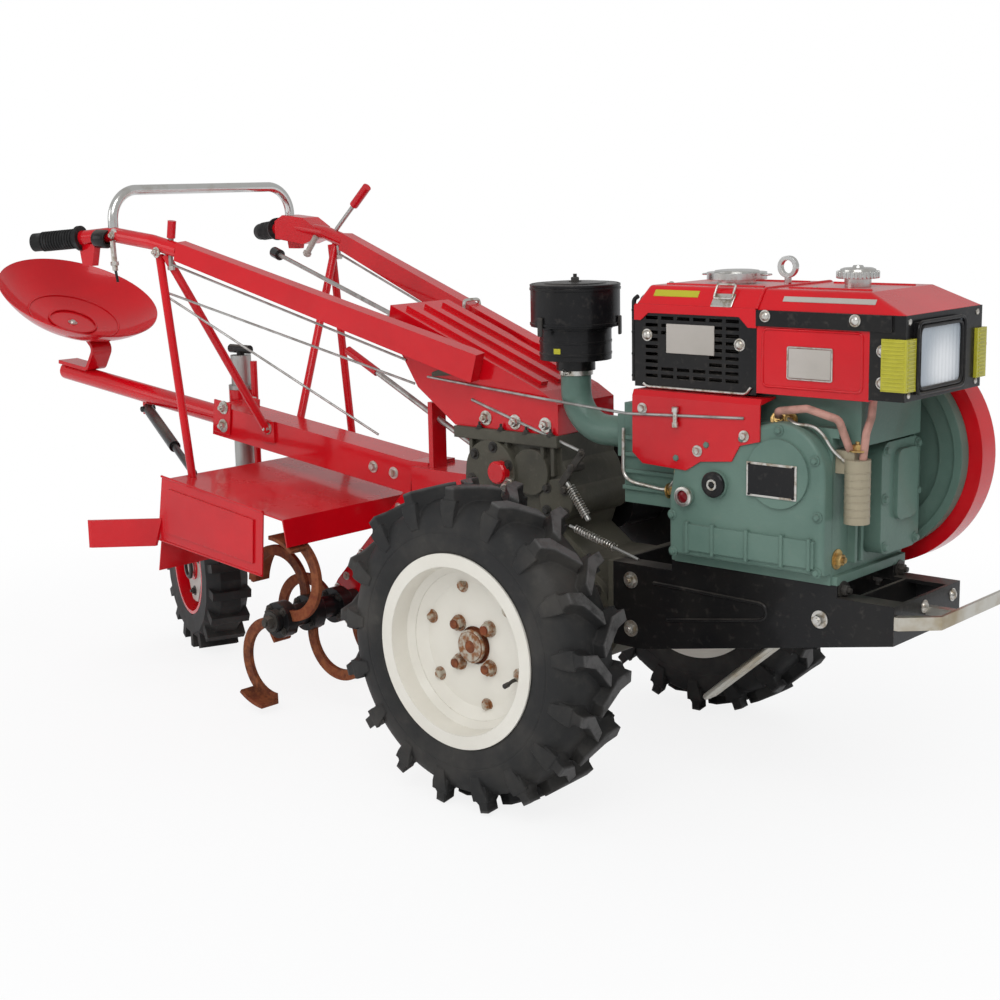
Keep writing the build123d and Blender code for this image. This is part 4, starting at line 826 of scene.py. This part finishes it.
# Three ribs stand on the band of belts. Each goes round both pulleys, touching them along the arcs
# between the straight runs.
crank_reach, clutch_reach, arc_steps = 94, 127, 40
run = math.atan2(clutch.z - crank.z, clutch.x - crank.x)
lean = math.acos((crank_reach - clutch_reach) / (clutch - crank).length)
belt_ribs = Stock()
for y in (229, 242, 255):
    rings = []
    for centre, radius, start, sweep in ((crank, crank_reach, run + lean, 2 * (math.pi - lean)),
                                         (clutch, clutch_reach, run - lean, 2 * lean)):
        for step in range(arc_steps + 1):
            turn = start + sweep * step / arc_steps
            out = Vector((math.cos(turn), 0, math.sin(turn)))
            rings.append([centre + out * (radius + high) + Vector((0, y + wide, 0))
                          for wide, high in ((-5.5, -1), (5.5, -1), (4.8, 1.8), (-4.8, 1.8))])
    belt_ribs.loft(rings, False)
belt_ribs.made("belt_ribs", soft_black, "soft_rubber")

# ---- Steering frame and handlebars
# The handlebars are box section, welded to the folded steering frame. Bolts pin the stays and
# brackets to them, and one U-bolt of plated rod holds the left bar to the frame.
clamps = Stock()
clamps.drawn([(-452, 119, 776), (-452, 167, 776), (-458, 167, 846), (-458, 119, 846)], 3.6, 10, closed=True)
clamps.made("bar_clamps", bright, "bare_steel")
pivots = Stock().bolts([(-985, 262, 955)], 13, 4).bolts([(-1122, 268, 990)], 15, 4)
for place in both([(-962, 243, 924)]):
    pivots.turned(place, (0, 0, -1), [(-2, 8), (6, 8), (7, 6)], 6)
pivots.made("bar_bolts", bright, "bare_steel")

# Behind each grip a folded bracket carries the steering clutch's cable, with a black collar and a
# plated adjuster on the right and a pale one on the left.
# rear edge, front edge and height of each of a bracket's sections
bracket_sections = ((-1226, -1168, 971), (-1224, -1169, 962), (-1216, -1180, 924))
brackets = Stock()
for side, forward, higher in ((-1, 0, 0), (1, 50, 14)):
    brackets.loft([[(x + forward, side * (279 + wide), z + higher)
                    for x, wide in ((rear, -8), (front, -8), (front, 8), (rear, 8))]
                   for rear, front, z in bracket_sections])
brackets.made("lever_brackets", enamel, "red_paint")
collar = Stock().turned((-1155, -273.8, 982), (-192, -31, 7), [
    (-18, 14), (-18, 18), (-14, 20), (14, 20), (18, 18), (18, 14)], 28, False)
collar.drawn([(-1117, -273, 918), (-1112, -272, 890)], 3)
collar.made("bar_collar", black_paint, "black_paint")
adjuster = Stock().drawn([(-1121, -273, 978), (-1117, -273, 914)], 6)
adjuster.turned((-1118, -273, 930), (0.06, 0, -1), [(-4, 9), (4, 9), (5, 8)], 6)
adjuster.made("bar_adjuster", bright, "bare_steel")
adjuster_end = (-1062, 236, 930)
far_adjuster = Stock().drawn([(-1030, 236, 968), adjuster_end], 7)
far_adjuster.turned(adjuster_end, (-0.64, 0, -0.76), [(-3, 10), (5, 10), (7, 8)], 6)
far_adjuster.made("far_adjuster", pale, "bare_steel")

# The throttle lever is a flat tongue under the right bar's foot.
tongue = ((-356, 714), (-283, 722), (-281, 738), (-300, 741), (-356, 722))
throttle_lever = Stock().loft([[(x, y, z) for x, z in tongue] for y in (-86, -90)])
throttle_lever.made("throttle_lever", cast_olive, "gearbox_paint")

# ---- Grips
# Moulded rubber sleeves, pushed on to the bars' ends, with rings for the hand and a collar at the
# front.
grip_rings = Stock()
for side in (-1, 1):
    front, rear = Vector((-1212, side * 283, 984)), Vector((-1325, side * 326, 975))
    for count in range(13):
        place = front.lerp(rear, 0.14 + 0.058 * count)
        grip_rings.turned(place, rear - front, [
            (-2.2, 18.5), (-1.4, 21.8), (1.4, 21.8), (2.2, 18.5)], 28, False)
grip_rings.made("grip_rings", soft_black, "soft_rubber")

# ---- Levers and wires
# Red and black plastic handles on plated rods, drawn wires to the clutch and brakes, and coil
# springs that pull the levers on the gearbox back. The tail wheel's column is of the same steel.
steel = grained("drawn steel", (40, 6), (0.4, 0.7), ((0.50, 0.50, 0.48), (0.32, 0.31, 0.29)),
                (0.3, 0.25), metallic=0.8, bump_depth=0.0004, rounding=0.0015, stretch=(1, 1, 0.15))
dress(steel, "control_rods", "tail_column")

# The rearmost lever's ball is black, and the handles ahead of it are red.
knob = Finish("lever plastic")
knob_place = knob.node("SeparateXYZ", sockets={0: knob.node("TexCoord", output="Object")})
knob_front = knob_place.above(at(-1128, 0, 0).x, at(-1127, 0, 0).x)
knob_grain = clouds(knob, 60, 3)
surface(knob, knob.mixed(knob_front, (0.014, 0.014, 0.014), (0.58, 0.006, 0.014)), knob_grain * 0.2 + 0.15,
        coat=0.4, bump=knob_grain, bump_depth=0.0003)
dress(knob, "lever_handles")

# A flat lever on the clutch housing joins the rod from the handlebar to the upper spring.
fork_lever = Stock().block((-5, -89, 565), (50, 0, 62), (62, 0, -50), (84, 14, 5), 1)
fork_lever.turned((-5, -60, 565), to_right, [(0, 8), (34, 8), (35, 6)], 16)
fork_lever.bolt((20, -91.5, 596), to_right, 9, 3)
fork_lever.made("fork_lever", dull, "bare_steel")
coil_steps = 12
springs = Stock()
for low, high, radius, turns in (((-15, -84, 530), (24, -84, 478), 8, 13),
                                 ((0, -85.5, 451), (92, -85.5, 426), 6.5, 16)):
    low, high = Vector(low), Vector(high)
    way = (high - low).normalized()
    across = way.orthogonal().normalized()
    upright = way.cross(across)
    coil = []
    for step in range(turns * coil_steps + 1):
        wide, tall = on_circle(radius, 360 * step / coil_steps)
        coil.append(low.lerp(high, step / (turns * coil_steps)) + across * wide + upright * tall)
    springs.drawn(coil, 1.5, sides=6)
springs.made("springs", bright, "bare_steel")

# A red plastic plug and a plated stop are on the gearbox's side, by the clutch fork.
plug = Stock().turned((-172, -98, 543), to_right, [(-1, 22), (14, 22), (17, 19), (17, 1)], 28)
plug.made("gearbox_plug", enamel, "red_paint")
stop = Stock()
for profile, sides in (([(-4, 13), (6, 13), (8, 12)], 6), ([(8, 9), (24, 9), (27, 7), (27, 1)], 20)):
    stop.turned((-150, -98, 524), (0.3, -1, -0.25), profile, sides)
stop.made("gearbox_stop", bright, "bare_steel")

# ---- Tool beam and seat
# Two-bolt plates clamp the column's sleeve and the braces to the beam, which is box section. The
# seat is a pressed bowl on a sprung leaf, with two rings pressed into it and one bolt at its foot.
beam_slope = 0.115
beam_plates = Stock()
for y in (-42.4, 42.4):
    beam_plates.block((-1064, y, 572), (1, 0, -beam_slope), (beam_slope, 0, 1), (58, 74, 4.6), 1)
beam_plates.made("beam_plates", enamel, "red_paint")
beam_bolts = Stock().bolts([(-1055, 44.6, 595), (-1059, 44.6, 553)], 17, 5).bolts([(-905, 46, 560)], 15, 5)
beam_bolts.bolts([(x, 40, 492 - beam_slope * (470 + x)) for x in (-520, -580)], 14)
beam_bolts.bolt((-1396, -4, 588), to_right, 10, 3)
beam_bolts.made("beam_bolts", bright, "bare_steel")

seat_centre, seat_lean, bowl_depth = Vector((-1652, 0, 822)), math.radians(27), 71
seat_up = Vector((math.sin(seat_lean), 0, math.cos(seat_lean)))
seat_ahead = Vector((math.cos(seat_lean), 0, -math.sin(seat_lean)))
# ring's radius, and its height above the bowl's foot
seat_rings = Stock()
for radius, height in ((58, 3.38238), (112, 15.60654)):
    ring_centre = seat_centre + seat_up * (height - bowl_depth)
    seat_rings.drawn([ring_centre + seat_ahead * x + Vector((0, y, 0)) for x, y in around(40, radius)], 2.8,
                     closed=True)
seat_rings.made("seat_rings", enamel, "red_paint")
seat_bolt = Stock().dome(seat_centre - seat_up * bowl_depth, seat_up, 9)
seat_bolt.made("seat_bolt", bright, "bare_steel")

# ---- Tiller
# Bolts clamp the C-shaped tines to the rotor's discs, and a ring of them closes the chain case. The
# hood over the tines is sheet, stiffened by pressed beads.
rotor_x, rotor_z, shaft_end = -660, 204, 272
tine_bolts = Stock()
for row in (-242, -165, -85, 85, 165, 242):
    for side in (-1, 1):
        for x, z in around(4, 30, 45):
            tine_bolts.bolt((rotor_x + x, row + side * 14, rotor_z + z), (0, side, 0), 10, 2)
tine_bolts.made("tine_bolts", dull, "black_paint", "tiller_rotor")

# How far ahead of and above the rotor the case's chain runs, and half the width between its bolts.
chain_ahead, chain_up, half_width = 230, 226, 40
along_chain = [(chain_ahead * share + edge * half_width, chain_up * share - edge * half_width)
               for share in (0.3, 0.55, 0.8) for edge in (-1, 1)]
case_ring = Stock()
case_ring.bolts([(rotor_x + x, 34, rotor_z + z) for x, z in around(8, 54, 22.5) + along_chain], 10)
case_ring.made("chain_case_bolts", bright, "bare_steel")
tiller_beads = Stock()
for y in (-300, 300):
    tiller_beads.drawn([(-962, y, 483), (-638, y, 443)], 2.6)
    tiller_beads.drawn([(-650, y, 309), (-986, y, 343)], 2.6)
tiller_beads.made("tiller_beads", enamel, "red_paint")
rotor_nuts = Stock().bolts([(rotor_x, shaft_end, rotor_z)], 24, 5)
rotor_nuts.made("rotor_nuts", dull, "black_paint", "tiller_rotor")

# ---- Tail wheel
# A small wheel with a pressed red disc, and a bright three-cornered plate under its hub nuts. It
# stands steered to the right at rest, on the right of its column.
steer = math.radians(-22)
tail_ahead = Vector((math.cos(steer), math.sin(steer), 0))
tail_right = Vector((math.sin(steer), -math.cos(steer), 0))
column_foot, trail, offset = Vector((-1130, 75, 195)), 54, 92
tail_hub = column_foot - tail_ahead * trail + tail_right * offset


def on_disc(out, radius, degrees):
    """A place on the tail wheel's right face, turned from straight down, in mm."""
    low, ahead = on_circle(radius, degrees)
    return tail_hub + tail_right * out + tail_ahead * ahead - Vector((0, 0, low))


corner = math.degrees(0.26)
tail_plate = Stock().loft([[on_disc(out, 84, 120 * count + part)
                            for count in range(3) for part in (-corner, 0, corner)] for out in (28, 32)])
tail_plate.made("tail_plate", pale, "bare_steel", "tail_wheel")
tail_nuts = Stock()
for count in range(3):
    tail_nuts.bolt(on_disc(32, 58, 120 * count), tail_right, 13, 4)
tail_nuts.turned(tail_hub + tail_right * 44, tail_right, [
    (-2, 27), (3, 27), (5, 24), (5, 18), (-2, 18)], 28, False)
tail_nuts.made("tail_nuts", dull, "bare_steel", "tail_wheel")

# ---- Filter and hoses
# A felt filter in a tan canister, rolled with shallow bands, and fuel hoses of copper-coloured
# rubber pushed over the unions.
tan = painted("tan paint", (0.40, 0.35, 0.25), (0.30, 0.26, 0.18), (0.2, 0.15, 0.1), 0.35, dust=0.2)
dress(tan, "fuel_filter")
hose = grained("hose rubber", (50, 4), (0.4, 0.7), ((0.50, 0.27, 0.22), (0.34, 0.19, 0.15)),
               (0.25, 0.4), bump_depth=0.0005, rounding=0.0015)
dress(hose, "fuel_hoses")
filter_bands = Stock()
for z in range(548, 621, 12):
    filter_bands.turned((594, -98, z), to_top, [(-1.5, 20), (-1, 21.6), (1, 21.6), (1.5, 20)], 32, False)
filter_bands.made("filter_bands", tan, "filter_body")
